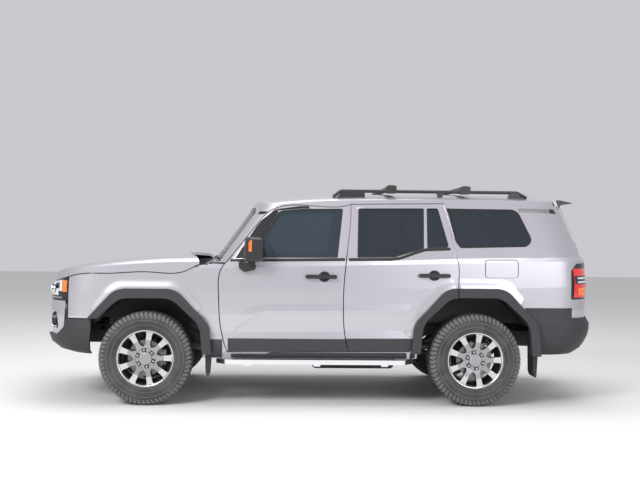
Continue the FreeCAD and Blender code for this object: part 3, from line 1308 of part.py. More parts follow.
keep_shape(tie_rods(), "tie_rods")
rack_y = 270
rack_x = FRONT_HUB + 126
rack_z = TIE_LOW + 12
rack = Part.makeCylinder(38, 2 * rack_y, Vector(rack_x, -rack_y, rack_z), Vector(0, 1, 0))
rack = rack.cut(Part.makeCylinder(30.6, 2 * rack_y + 2, Vector(rack_x, -rack_y - 1, rack_z), Vector(0, 1, 0)))
legs = [box(rack_x - 30, rack_x + 30, y, y + 40, rack_z + 34, size["rail_bottom"] + 174.7) for y in (-220, 180)]
arms = both_sides(Part.makeCompound(front_suspension()))
keep_shape(Part.makeCompound([arms, joined(rack, *legs)]), "front_suspension")

# Wheel liners, mud flaps and side steps


def wheel_liners():
    """Plastic liners over the wheels, behind the trims."""
    pieces = []
    for hub, top in ARCHES:
        inner_y = -525 if hub == FRONT_HUB else -610
        liner = through(arch_wire(hub, top, 12), -904, inner_y).cut(through(arch_wire(hub, top, 6), -FAR, inner_y - 5))
        if hub == FRONT_HUB:
            liner = liner.cut(box(hub - 700, hub + 700, -FAR, 0, 200, 690))
            liner = liner.cut(box(hub - 700, hub + 700, -560, 0, 200, 720))
        else:
            liner = liner.cut(box(hub - 700, hub + 700, -FAR, 0, 200, 700))
        pieces.append(liner)
    return pieces


fender_skin = outer.cut(whole_body(30.3, 30.3))
tower_room = box(FRONT_HUB + 34, FRONT_HUB + 126, -560, -500, 680, 736)
bumper_wall = rear_loft(-1).cut(rear_loft(60.3))
liner_rooms = [fender_skin, front_ring, rear_ring, bumper_wall, tower_room, guard_wall]
liners = [liner.cut(liner_rooms) for liner in wheel_liners()]


def mud_flap(x, top, low, y0, y1):
    """Flap behind a wheel, narrower towards its foot."""
    return through(rounded([(x, top), (x + 6, low + 60), (x + 24, low), (x + 36, low + 30), (x + 52, top)],
                           [0, 20, 8, 12, 0]), y0, y1)


flaps = [mud_flap(FRONT_HUB + 508, 470, 232, -915, -730), mud_flap(REAR_HUB + 508, 600, 236, -915, -730)]
flaps = [flap.cut(liner_rooms) for flap in flaps]
keep_shape(both_sides(Part.makeCompound(liners + flaps)), "wheel_liners")


def side_step():
    """Aluminium running board on three brackets from the frame."""
    x0 = FRONT_HUB + 583
    y1 = -838
    y0 = y1 - size["step_width"]
    top = size["step_top"]
    board = Part.Face(rounded([(x0, y1), (x0 + 110, y0), (x0 + size["step_length"] - 110, y0),
                               (x0 + size["step_length"], y1)], [16, 60, 60, 16], "top"))
    board.translate(Vector(0, 0, top - size["step_height"]))
    board = board.extrude(Vector(0, 0, size["step_height"]))
    brackets = []
    for x in (x0 + 260, x0 + 860, x0 + 1450):
        brackets.append(box(x, x + 60, y1 - 60, -size["rail_spread"] - size["rail_width"] / 2 - 0.3,
                            top - size["step_height"] - 24, top - size["step_height"]))
        brackets.append(box(x, x + 60, -size["rail_spread"] - size["rail_width"] / 2 - 20,
                            -size["rail_spread"] - size["rail_width"] / 2 - 0.3, top - size["step_height"] - 2,
                            size["rail_bottom"] + 90))
    return joined(board, *brackets)


keep_shape(both_sides(side_step()), "side_steps")

# Roof rails and crossbars


def roof_z(x, y):
    """Height of the roof's outer face."""
    ray = Part.LineSegment(Vector(x, y, 1500), Vector(x, y, 2100)).toShape()
    return ray.common(roof).BoundBox.ZMax


def roof_rail():
    """Left rail: a bar on a long front foot, a post and a rear foot."""
    y = -size["roof_rail_spread"]
    r = size["roof_rail_radius"]
    x0 = FRONT_HUB + 1612
    x1 = x0 + 1750
    bar_z = roof_z(x0 + 900, y) + 46
    drop_front = roof_z(x0, y) + 6
    drop_rear = roof_z(x1, y) + 8
    bar = tube([(x0, y, drop_front), (x0 + 70, y, bar_z - 4), (x1 - 90, y, bar_z), (x1, y, drop_rear)], r, 60)
    front_foot = through(rounded([(x0 - 6, drop_front - 40), (x0 + 290, drop_front - 30), (x0 + 280, bar_z),
                                  (x0 + 90, bar_z - 4)], [6, 20, 12, 20]), y - 17, y + 17)
    post = box(x0 + 940, x0 + 985, y - 14, y + 14, 1700, bar_z)
    rear_foot = through(rounded([(x1 - 190, drop_rear - 40), (x1 + 4, drop_rear - 40), (x1 - 96, bar_z),
                                 (x1 - 150, bar_z)], [6, 6, 16, 12]), y - 15, y + 15)
    solid_roof = upper_body(0).common(crown(0))
    return joined(bar, front_foot, post, rear_foot).cut(solid_roof)


rail_left = roof_rail()
keep_shape(both_sides(rail_left), "roof_rails")


def crossbar(x):
    """Bar across the roof with an end cap over each rail."""
    half = size["crossbar_length"] / 2
    z = 1930 - size["crossbar_height"]
    wide = size["crossbar_width"]
    top = z + size["crossbar_height"]
    bar = through(rounded([(x, z), (x + wide, z), (x + wide, top - 9), (x + wide * 0.8, top), (x + wide * 0.24, top),
                           (x, top - 9)], 4), -half, half)
    caps = []
    for y in (-size["roof_rail_spread"] - 30, size["roof_rail_spread"] - 30):
        cap = through(rounded([(x - 8, z - 46), (x + wide + 8, z - 46), (x + wide + 8, top - 2),
                               (x + wide * 0.3, top + 3), (x - 8, top - 8)], 12), y, y + 60)
        caps.append(cap)
    return joined(bar, *caps).cut([rail_left, mirrored(rail_left), upper_body(0).common(crown(0))])


bars = [crossbar(FRONT_HUB + 2096), crossbar(FRONT_HUB + 2764)]
keep_shape(Part.makeCompound(bars), "crossbars")

# Exhaust, tank, spare wheel and fuel door

EXHAUST_RUN = [(FRONT_HUB + 180, 250, 400), (FRONT_HUB + 420, 250, 350), (FRONT_HUB + 1500, 250, 350),
               (FRONT_HUB + 2450, 290, 350), (REAR_HUB - 190, 345, 470), (REAR_HUB - 60, 345, 510),
               (REAR_HUB + 120, 345, 510), (REAR_HUB + 240, 460, 400), (REAR_HUB + 620, 560, 400),
               (REAR_HUB + 880, 570, 385)]
pipe = tube(EXHAUST_RUN, 27, 60)
muffler = Part.makeCylinder(95, 520, Vector(FRONT_HUB + 1600, 256, 372), Vector(1, 0, 0))
hangers = [box(FRONT_HUB + 1700 + i * 380, FRONT_HUB + 1730 + i * 380, 330, 409.7, 400, 420) for i in range(2)]
keep_shape(joined(pipe, muffler, *hangers), "exhaust")

tank = through(rounded([(B_LINE - 250, 254), (REAR_HUB - 650, 254), (REAR_HUB - 640, 452), (B_LINE - 250, 452)], 40),
               -404, -62)
strap = [box(B_LINE + x, B_LINE + x + 40, -409.7, -380, 410, 440) for x in (-120, 320)]
keep_shape(joined(tank, *strap), "fuel_tank")


def spare_wheel():
    """Spare wheel on its steel rim, flat under the load floor."""
    r = size["tyre_radius"] - 2
    bead = size["bead_radius"]
    z = size["load_floor_height"] - size["floor_thickness"] - size["tyre_width"] - 30
    tall = size["tyre_width"]
    section = rounded([(bead - 20, z + 30), (r - 40, z), (r, z + 40), (r, z + tall - 40), (r - 40, z + tall),
                       (bead - 20, z + tall - 30)], [20, 30, 30, 30, 30, 20])
    ring = Part.Face(section).revolve(Vector(), Vector(0, 0, 1), 360)
    dish = Part.makeCylinder(bead - 10, 30, Vector(0, 0, z + 110))
    hub = Part.makeCylinder(60, size["load_floor_height"] - size["floor_thickness"] - z - 80.3, Vector(0, 0, z + 80))
    wheel = joined(ring, dish, hub)
    wheel.translate(Vector(REAR_HUB + 560, 0, 0))
    return wheel


keep_shape(spare_wheel(), "spare_wheel")

# Cabin


def seat(x, y, width, low, rise, back_height):
    """Seat with cushion, reclined back and headrest; low is the cushion's underside."""
    lean = 0.22 * back_height
    back_top = low + rise + back_height
    cushion = through(rounded([(x, low + 8), (x + 500, low), (x + 500, low + rise - 20), (x + 20, low + rise + 10)],
                              [30, 20, 20, 40]), y - width / 2, y + width / 2)
    back = through(rounded([(x + 420, low + rise - 60), (x + 560, low + rise - 60), (x + 590 + lean, back_top),
                            (x + 496 + lean, back_top)], [20, 40, 32, 32]), y - width / 2 + 10, y + width / 2 - 10)
    head = through(rounded([(x + 510 + lean, back_top + 34), (x + 604 + lean, back_top + 30),
                            (x + 630 + lean, back_top + 200), (x + 550 + lean, back_top + 206)], [18, 18, 30, 24]),
                   y - 125, y + 125)
    posts = [tube([(x + 540 + lean, place, back_top - 30), (x + 556 + lean, place, back_top + 60)], 7)
             for place in (y - 60, y + 60)]
    return joined(cushion, back, head, *posts)


def front_seats():
    """Front seats on their bases."""
    floor_top = size["floor_height"] + size["floor_thickness"] + 0.3
    x, y = B_LINE - 470, -380
    base = box(x + 60, x + 460, y - 190, y + 190, floor_top, floor_top + 210)
    return both_sides(joined(seat(x, y, 520, floor_top + 200, 130, 560), base))


def rear_seat():
    """Rear bench in two parts, each with its headrest."""
    return both_sides(seat(B_LINE + 250, -345, 660, size["load_floor_height"] + 0.3, 130, 490))


keep_shape(front_seats(), "front_seats")
keep_shape(rear_seat(), "rear_seat")


def dashboard():
    """Dashboard across the cabin, with its hood over the dials and the console."""
    profile = rounded([(FIREWALL + 26.3, 900), (FIREWALL + 220, 860), (FIREWALL + 330, 1000), (FIREWALL + 350, 1196),
                       (FIREWALL + 250, 1268), (FIREWALL + 100, 1244), (FIREWALL + 94, 1190),
                       (FIREWALL + 26.3, 1190)], [0, 60, 60, 40, 60, 10, 0, 0])
    width = size["half_width"] - size["door_thickness"] - 60
    board = through(profile, -width, width)
    console = box(FIREWALL + 200, B_LINE + 60, -105, 105, size["floor_height"] + size["floor_thickness"] + 0.3, 850)
    cluster = through(rounded([(FIREWALL + 200, 1220), (FIREWALL + 372, 1180), (FIREWALL + 372, 1290),
                               (FIREWALL + 240, 1316)], [0, 10, 20, 30]), -540, -220)
    return joined(board, console, cluster)


STEER_AXIS = Vector(math.cos(math.radians(25)), 0, math.sin(math.radians(25)))
STEER_CENTRE = Vector(FIREWALL + 530, -380, 1270)
dash = dashboard()
column_start = STEER_CENTRE - STEER_AXIS * 300
column = Part.makeCylinder(34, 240, column_start, STEER_AXIS)
keep_shape(joined(dash, column).cut(shell), "dashboard")


def steering_wheel():
    """Steering wheel: rim, three spokes and hub, with its short shaft."""
    r = size["steering_wheel_radius"]
    rim = Part.makeTorus(r, 15)
    hub = Part.makeCylinder(62, 36, Vector(0, 0, -34))
    spokes = [Part.makeBox(r - 8, 44, 14, Vector(0, -22, -16)) for i in range(3)]
    for spoke, angle in zip(spokes, (0, 180, 270)):
        spoke.rotate(Vector(), Vector(0, 0, 1), angle)
    shaft = Part.makeCylinder(16, 27.7, Vector(0, 0, -59.7))
    wheel = joined(rim, hub, *spokes, shaft)
    wheel.Placement = Placement(STEER_CENTRE, Rotation(Vector(0, 0, 1), STEER_AXIS))
    return wheel


keep_shape(steering_wheel(), "steering_wheel")

fuel_panel = outer.cut(whole_body(8, 8)).common(half_slab(FUEL_DOOR, LEFT))
keep_shape(fuel_panel, "fuel_door")

doc.recompute()
for item in doc.Objects:
    if "Invalid" in item.State or "Error" in item.State:
        raise RuntimeError("%s did not build" % item.Name)
os.makedirs("parts", exist_ok=True)
for item in nodes:
    check_shape(item.Shape, item.Label)
    item.Shape.exportStep("parts/%s.step" % item.Label)
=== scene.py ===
"""Studio scene round the off-road car: its finishes, small parts, floor, lights and camera."""
import math

import bmesh
import bpy
from mathutils import Matrix, Vector
from mathutils.bvhtree import BVHTree


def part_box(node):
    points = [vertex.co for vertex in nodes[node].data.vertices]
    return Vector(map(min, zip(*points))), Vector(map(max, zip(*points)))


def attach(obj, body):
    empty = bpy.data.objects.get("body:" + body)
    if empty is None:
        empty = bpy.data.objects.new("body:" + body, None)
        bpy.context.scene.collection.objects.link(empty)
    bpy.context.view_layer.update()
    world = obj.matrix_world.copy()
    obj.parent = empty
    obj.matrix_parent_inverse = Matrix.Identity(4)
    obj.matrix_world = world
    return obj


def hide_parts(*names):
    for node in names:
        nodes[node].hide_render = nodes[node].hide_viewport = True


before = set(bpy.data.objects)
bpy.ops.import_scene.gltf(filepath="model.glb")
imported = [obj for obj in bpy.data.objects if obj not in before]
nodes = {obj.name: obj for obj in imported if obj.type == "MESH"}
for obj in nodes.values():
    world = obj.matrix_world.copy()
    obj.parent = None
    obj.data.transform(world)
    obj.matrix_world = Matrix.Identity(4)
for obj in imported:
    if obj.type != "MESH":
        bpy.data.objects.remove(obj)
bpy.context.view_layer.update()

FRONT_HUB, REAR_HUB, HUB_Z, HALF_TRACK = -1.5275, 1.3225, 0.401, 0.832
SIDES = (("left", -1), ("right", 1))


# Materials

GRAIN_DEPTH, GRAIN_DETAIL = 0.001, 3.0
MOTTLE_DETAIL, DARK_BELOW, LIGHT_ABOVE = 4.0, 0.35, 0.65


def material(name, color, rough=0.5, metal=0.0, coat=0.0, coat_rough=0.03, alpha=1.0, emit=0.0):
    """Plain principled material."""
    mat = bpy.data.materials.new(name)
    mat.use_nodes = True
    shader = mat.node_tree.nodes["Principled BSDF"]
    inputs = shader.inputs
    inputs["Base Color"].default_value = (*color, 1)
    inputs["Roughness"].default_value = rough
    inputs["Metallic"].default_value = metal
    inputs["Coat Weight"].default_value = coat
    inputs["Coat Roughness"].default_value = coat_rough
    inputs["Alpha"].default_value = alpha
    if emit:
        inputs["Emission Color"].default_value = (*color, 1)
        inputs["Emission Strength"].default_value = emit
    return mat


def new_group(name, inputs, outputs):
    """Shader node group with named sockets: its tree, its entry and its end."""
    tree = bpy.data.node_groups.new(name, "ShaderNodeTree")
    for label, kind in inputs:
        tree.interface.new_socket(name=label, in_out="INPUT", socket_type=kind)
    for label, kind in outputs:
        tree.interface.new_socket(name=label, in_out="OUTPUT", socket_type=kind)
    return tree, tree.nodes.new("NodeGroupInput"), tree.nodes.new("NodeGroupOutput")


def object_noise(tree, entry, detail):
    """Noise in object space, at the scale that the group is given."""
    coords = tree.nodes.new("ShaderNodeTexCoord")
    noise = tree.nodes.new("ShaderNodeTexNoise")
    noise.inputs["Detail"].default_value = detail
    tree.links.new(coords.outputs["Object"], noise.inputs["Vector"])
    tree.links.new(entry.outputs["Scale"], noise.inputs["Scale"])
    return noise


def grain_group():
    """Fine relief from a noise."""
    tree, entry, end = new_group("grain", [("Scale", "NodeSocketFloat"), ("Strength", "NodeSocketFloat")],
                                 [("Normal", "NodeSocketVector")])
    noise = object_noise(tree, entry, GRAIN_DETAIL)
    relief = tree.nodes.new("ShaderNodeBump")
    relief.inputs["Distance"].default_value = GRAIN_DEPTH
    tree.links.new(entry.outputs["Strength"], relief.inputs["Strength"])
    tree.links.new(noise.outputs["Fac"], relief.inputs["Height"])
    tree.links.new(relief.outputs["Normal"], end.inputs["Normal"])
    return tree


def mottle_group():
    """Colour that drifts between two shades with a noise."""
    tree, entry, end = new_group("mottle", [("Dark", "NodeSocketColor"), ("Light", "NodeSocketColor"),
                                            ("Scale", "NodeSocketFloat")], [("Color", "NodeSocketColor")])
    noise = object_noise(tree, entry, MOTTLE_DETAIL)
    share = tree.nodes.new("ShaderNodeMapRange")
    share.inputs["From Min"].default_value = DARK_BELOW
    share.inputs["From Max"].default_value = LIGHT_ABOVE
    blend = tree.nodes.new("ShaderNodeMix")
    blend.data_type = "RGBA"
    sockets = {socket.identifier: socket for socket in (*blend.inputs, *blend.outputs)}
    tree.links.new(noise.outputs["Fac"], share.inputs["Value"])
    tree.links.new(share.outputs["Result"], sockets["Factor_Float"])
    tree.links.new(entry.outputs["Dark"], sockets["A_Color"])
    tree.links.new(entry.outputs["Light"], sockets["B_Color"])
    tree.links.new(sockets["Result_Color"], end.inputs["Color"])
    return tree


GRAIN, MOTTLE = grain_group(), mottle_group()


def place_group(mat, group, output, target, **values):
    """Put a group into a material, with its own values, and join it to the shader."""
    tree = mat.node_tree
    node = tree.nodes.new("ShaderNodeGroup")
    node.node_tree = group
    for label, value in values.items():
        node.inputs[label].default_value = value
    tree.links.new(node.outputs[output], tree.nodes["Principled BSDF"].inputs[target])
    return mat


def grained(mat, scale, strength):
    """Fine relief on a material."""
    return place_group(mat, GRAIN, "Normal", "Normal", Scale=scale, Strength=strength)


def mottled(mat, dark, light, scale):
    """Base colour that drifts between two shades."""
    return place_group(mat, MOTTLE, "Color", "Base Color", Dark=(*dark, 1), Light=(*light, 1), Scale=scale)


paint = material("paint", (0.50, 0.482, 0.530), rough=0.32, metal=0.70, coat=1.0, coat_rough=0.04)
dark_plastic = grained(material("dark_plastic", (0.026, 0.027, 0.031), rough=0.55), 700, 0.25)
gloss_black = material("gloss_black", (0.012, 0.012, 0.014), rough=0.12, coat=0.5)
satin_black = material("satin_black", (0.018, 0.018, 0.020), rough=0.38)
glass = material("glass", (0.018, 0.034, 0.052), rough=0.02, alpha=0.62, coat=1.0)
glass.surface_render_method = "BLENDED"
rear_glass = material("privacy_glass", (0.008, 0.014, 0.026), rough=0.02, alpha=0.74, coat=1.0)
screen_glass = material("screen_glass", (0.05, 0.08, 0.10), rough=0.02, alpha=0.45, coat=1.0)
tyre_rubber = mottled(material("tyre_rubber", (0.03, 0.03, 0.031), rough=0.78),
                      (0.034, 0.034, 0.035), (0.062, 0.061, 0.060), 9)
tyre_rubber = grained(tyre_rubber, 220, 0.2)
# Lighter rubber grey: painted highlight on the tyre's raised ring lines and on its shoulder and wall blocks.
tyre_painted_highlight = grained(material("tyre_painted_highlight", (0.125, 0.124, 0.120), rough=0.75), 220, 0.2)
alloy = material("alloy", (0.62, 0.62, 0.64), rough=0.26, metal=1.0, coat=0.5)
alloy_grey = material("alloy_grey", (0.34, 0.34, 0.355), rough=0.34, metal=0.85, coat=0.4)
alloy_dark = material("alloy_dark", (0.022, 0.022, 0.024), rough=0.42, metal=0.6, coat=0.2)
chassis_black = grained(material("chassis_black", (0.016, 0.016, 0.017), rough=0.6), 90, 0.2)
cast_metal = mottled(material("cast_metal", (0.2, 0.2, 0.2), rough=0.55, metal=0.8),
                     (0.12, 0.12, 0.12), (0.26, 0.25, 0.25), 30)
cast_metal = grained(cast_metal, 150, 0.3)
disc_steel = material("disc_steel", (0.19, 0.185, 0.18), rough=0.38, metal=1.0)
bright_aluminium = grained(material("bright_aluminium", (0.80, 0.81, 0.83), rough=0.22, metal=1.0), 60, 0.03)
exhaust_steel = mottled(material("exhaust_steel", (0.4, 0.38, 0.36), rough=0.42, metal=1.0),
                        (0.30, 0.28, 0.26), (0.48, 0.46, 0.44), 14)
cloth = mottled(material("cloth", (0.10, 0.10, 0.105), rough=0.9),
                (0.085, 0.085, 0.09), (0.14, 0.14, 0.145), 60)
cloth = grained(cloth, 420, 0.4)
cabin_plastic = grained(material("cabin_plastic", (0.035, 0.036, 0.040), rough=0.6), 500, 0.3)
carpet = grained(material("carpet", (0.03, 0.03, 0.032), rough=0.95), 260, 0.6)
lining = material("lining", (0.34, 0.33, 0.32), rough=0.9)
rubber = material("rubber", (0.014, 0.014, 0.015), rough=0.7)
lamp_white = material("lamp_white", (0.86, 0.88, 0.92), rough=0.12, metal=0.4, coat=1.0)
lamp_red = material("lamp_red", (0.60, 0.012, 0.010), rough=0.10, coat=1.0, emit=0.25)
lamp_lens_blue = material("lamp_lens_blue", (0.30, 0.34, 0.42), rough=0.05, metal=0.3, coat=1.0)
plate_white = material("plate_white", (0.78, 0.78, 0.76), rough=0.4)
mirror_silver = material("mirror_silver", (0.85, 0.87, 0.90), rough=0.02, metal=1.0)
lamp_amber = material("lamp_amber", (0.85, 0.16, 0.01), rough=0.12, coat=1.0, emit=0.15)


NODE_SHARP = 32


def finish_node(name, mat):
    """Give a CAD node one material and smooth shading up to its sharp edges."""
    mesh = nodes[name].data
    mesh.materials.clear()
    mesh.materials.append(mat)
    mesh.polygons.foreach_set("use_smooth", [True] * len(mesh.polygons))
    mark_sharp(mesh, NODE_SHARP)
    return mesh


def mark_sharp(mesh, degrees):
    """Sharp edges where two faces meet at more than an angle, so that the rest shades smooth."""
    work = bmesh.new()
    work.from_mesh(mesh)
    limit = math.radians(degrees)
    sharp = [len(e.link_faces) != 2 or e.calc_face_angle(0) > limit for e in work.edges]
    work.free()
    attribute = mesh.attributes.get("sharp_edge") or mesh.attributes.new("sharp_edge", "BOOLEAN", "EDGE")
    attribute.data.foreach_set("value", sharp)


PLAIN = {
    "body_shell": paint, "roof_panel": paint, "front_fenders": paint, "front_bumper": paint, "hood": paint,
    "tailgate": paint, "fuel_door": paint, "fixed_glass": rear_glass, "tailgate_glass": rear_glass,
    "front_guard": dark_plastic, "rear_bumper": dark_plastic, "arch_trims": dark_plastic, "cowl": satin_black,
    "wheel_liners": chassis_black, "grille": gloss_black, "spoiler": satin_black, "fuel_tank": chassis_black,
    "ladder_frame": chassis_black, "rear_axle": chassis_black, "rear_suspension": chassis_black,
    "front_suspension": chassis_black, "tie_rods": chassis_black, "floor_pan": chassis_black,
    "knuckle_left": cast_metal, "knuckle_right": cast_metal, "engine_block": cast_metal,
    "driveline": cast_metal, "headlamps": gloss_black, "tail_lamps": gloss_black,
    "side_steps": bright_aluminium, "roof_rails": satin_black, "crossbars": satin_black,
    "exhaust": exhaust_steel, "spare_wheel": tyre_rubber, "front_seats": cloth, "rear_seat": cloth,
    "dashboard": cabin_plastic, "steering_wheel": cabin_plastic,
}
for end in ("front", "rear"):
    for side, sign in SIDES:
        PLAIN["%s_door_%s" % (end, side)] = paint
        PLAIN["%s_door_glass_%s" % (end, side)] = glass if end == "front" else rear_glass
        PLAIN["%s_door_trim_%s" % (end, side)] = dark_plastic
        PLAIN["%s_tyre_%s" % (end, side)] = tyre_rubber
        PLAIN["%s_rim_%s" % (end, side)] = alloy
for name, mat in PLAIN.items():
    finish_node(name, mat)


# Shapes made here


def add_mesh(name, verts, faces, mats, body, smooth=None, indices=None):
    """New mesh object that rides on a body; smooth is the angle above which its edges are sharp."""
    mesh = bpy.data.meshes.new(name)
    mesh.from_pydata([tuple(v) for v in verts], [], faces)
    for mat in (mats if isinstance(mats, (list, tuple)) else [mats]):
        mesh.materials.append(mat)
    if indices is not None:
        mesh.polygons.foreach_set("material_index", indices)
    if smooth is not None:
        mesh.polygons.foreach_set("use_smooth", [True] * len(mesh.polygons))
        mark_sharp(mesh, smooth)
    obj = bpy.data.objects.new(name, mesh)
    bpy.context.scene.collection.objects.link(obj)
    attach(obj, body)
    return obj


def outward(verts, faces):
    """The faces turned so that the closed shape's normals point out."""
    work = bmesh.new()
    made = [work.verts.new(v) for v in verts]
    for face in faces:
        work.faces.new([made[i] for i in face])
    bmesh.ops.recalc_face_normals(work, faces=work.faces)
    work.verts.index_update()
    turned = [[v.index for v in face.verts] for face in work.faces]
    work.free()
    return turned


class Shape:
    """Vertices and faces that grow piece by piece, with a material index for each face."""

    def __init__(self):
        self.verts = []
        self.faces = []
        self.kinds = []

    def add(self, verts, faces, kind=0):
        start = len(self.verts)
        self.verts += [Vector(v) for v in verts]
        self.faces += [[start + i for i in face] for face in faces]
        self.kinds += [kind] * len(faces)

    def box(self, low, high, kind=0, turn=None):
        x0, y0, z0 = low
        x1, y1, z1 = high
        verts = [Vector(p) for p in ((x0, y0, z0), (x1, y0, z0), (x1, y1, z0), (x0, y1, z0),
                                     (x0, y0, z1), (x1, y0, z1), (x1, y1, z1), (x0, y1, z1))]
        if turn:
            verts = [turn @ v for v in verts]
        self.add(verts, [(0, 3, 2, 1), (4, 5, 6, 7), (0, 1, 5, 4), (1, 2, 6, 5), (2, 3, 7, 6), (3, 0, 4, 7)],
                 kind)

    def prism(self, points, push, kind=0):
        """Flat outline of 3-D points pushed along a vector."""
        push = Vector(push)
        count = len(points)
        verts = [Vector(p) for p in points] + [Vector(p) + push for p in points]
        faces = [list(range(count))[::-1], list(range(count, 2 * count))]
        faces += [(i, (i + 1) % count, count + (i + 1) % count, count + i) for i in range(count)]
        self.add(verts, outward(verts, faces), kind)

    def tube(self, points, radius, sides=10, kind=0):
        """Round bar along points."""
        points = [Vector(p) for p in points]
        verts = []
        axis = (points[1] - points[0]).normalized()
        across = axis.orthogonal().normalized()
        for i, point in enumerate(points):
            before = points[max(i - 1, 0)]
            after = points[min(i + 1, len(points) - 1)]
            axis = (after - before).normalized()
            across = (across - axis * across.dot(axis)).normalized()
            other = axis.cross(across)
            for k in range(sides):
                angle = 2 * math.pi * k / sides
                verts.append(point + (across * math.cos(angle) + other * math.sin(angle)) * radius)
        faces = []
        for i in range(len(points) - 1):
            for k in range(sides):
                a, b = i * sides + k, i * sides + (k + 1) % sides
                faces.append((a, b, b + sides, a + sides))
        faces.append(list(range(sides))[::-1])
        faces.append(list(range(len(verts) - sides, len(verts))))
        self.add(verts, outward(verts, faces), kind)

    def lathe(self, profile, steps, kinds=0, closed=True):
        """Turn a profile of (y, radius) points round the Y axis."""
        count = len(profile)
        verts = []
        for s in range(steps):
            angle = 2 * math.pi * s / steps
            verts += [(r * math.cos(angle), y, r * math.sin(angle)) for y, r in profile]
        faces = []
        marks = []
        spans = count if closed else count - 1
        for s in range(steps):
            t = (s + 1) % steps
            for i in range(spans):
                j = (i + 1) % count
                faces.append((s * count + i, s * count + j, t * count + j, t * count + i))
                marks.append(kinds[i] if isinstance(kinds, (list, tuple)) else kinds)
        start = len(self.verts)
        self.verts += [Vector(v) for v in verts]
        self.faces += [[start + i for i in face] for face in faces]
        self.kinds += marks

    def moved(self, matrix):
        """Copy of the shape under a matrix, its faces flipped if the matrix mirrors."""
        other = Shape()
        other.verts = [matrix @ v for v in self.verts]
        flip = matrix.determinant() < 0
        other.faces = [face[::-1] if flip else list(face) for face in self.faces]
        other.kinds = list(self.kinds)
        return other

    def make(self, name, mats, body, smooth=None):
        return add_mesh(name, self.verts, self.faces, mats, body, smooth, self.kinds)


MIRROR = Matrix.Diagonal((1, -1, 1, 1))


# Wheels


TREAD_PITCHES = 62
LATHE_STEPS = 120


def tyre_shape():
    """Outboard-left tyre: carcass with raised ring lines, and rows of tread blocks."""
    shape = Shape()
    outer = [(-0.1007, 0.232), (-0.1027, 0.2444), (-0.1085, 0.2475), (-0.112, 0.252), (-0.118, 0.260),
             (-0.1235, 0.274), (-0.1272, 0.286), (-0.1292, 0.287), (-0.1292, 0.290), (-0.1283, 0.291),
             (-0.1300, 0.303), (-0.1316, 0.315), (-0.1318, 0.326), (-0.1334, 0.327), (-0.1334, 0.331),
             (-0.1320, 0.332), (-0.1316, 0.342), (-0.1295, 0.355), (-0.1265, 0.366), (-0.1225, 0.375),
             (-0.116, 0.3835), (-0.106, 0.389), (-0.075, 0.3915)]
    inner = [(0.098, 0.372), (0.114, 0.345), (0.115, 0.300), (0.100, 0.262), (0.092, 0.240)]
    profile = outer + [(0.0, 0.3925)] + [(-y, r) for y, r in outer[::-1]]
    profile += [(y, r) for y, r in inner[::-1]] + [(-y, r) for y, r in inner]
    # Ring lines that take the lighter grey, a painted highlight.
    raised = (2, 7, 13)
    shape.lathe(profile, LATHE_STEPS, kinds=[int(i in raised) for i in range(len(profile))])

    def lug(rows, start, width, skew, kind=0):
        """Block that follows rows of (y, top radius, foot radius) over an angle that leans with y."""
        verts = []
        for y, top, foot in rows:
            lean = start + skew * y
            for radius, angle in ((foot, lean), (top, lean + 0.0018), (top, lean + width - 0.0018),
                                  (foot, lean + width)):
                verts.append((radius * math.cos(angle), y, radius * math.sin(angle)))
        faces = []
        for i in range(len(rows) - 1):
            a = 4 * i
            faces += [(a + k, a + k + 1, a + k + 5, a + k + 4) for k in range(3)]
        faces += [(0, 3, 2, 1), tuple(len(verts) - 4 + k for k in range(4))]
        shape.add(verts, outward(verts, faces), kind)

    pitch = 2 * math.pi / TREAD_PITCHES
    for i in range(TREAD_PITCHES):
        at = i * pitch
        long = i % 2 * 0.005
        for side in (-1, 1):
            # Shoulder and wall blocks take kind 1, the lighter grey of the painted highlight.
            shoulder = [(0.078, 0.3998, 0.388), (0.098, 0.3985, 0.386), (0.1105, 0.3925, 0.380),
                        (0.1195, 0.3835, 0.374), (0.1258 - long * 0.2, 0.3725, 0.366)]
            lug([(side * y, top, foot) for y, top, foot in shoulder], at + side * 0.01, pitch * 0.70,
                side * 0.12, 1)
            wall = [(0.1262, 0.3715, 0.364), (0.1302, 0.3600 - long, 0.357), (0.1310, 0.3545 - long, 0.352)]
            lug([(side * y, top, foot) for y, top, foot in wall], at + side * 0.014 + pitch * 0.12,
                pitch * 0.44, 0, 1)
            lug([(side * 0.040, 0.4006, 0.390), (side * 0.071, 0.4000, 0.389)], at + pitch * 0.35,
                pitch * 0.72, side * 0.5)
            lug([(side * 0.0055, 0.4010, 0.390), (side * 0.034, 0.4008, 0.390)],
                at + (0.1 if side > 0 else 0.55) * pitch, pitch * 0.74, side * -0.6)
    return shape


SPOKES, SPOKE_TURN = 9, math.radians(81)
NUTS, NUT_CIRCLE, NUT_TURN, NUT_RADIUS, NUT_SEAT = 6, 0.0715, 0.35, 0.0084, -0.084


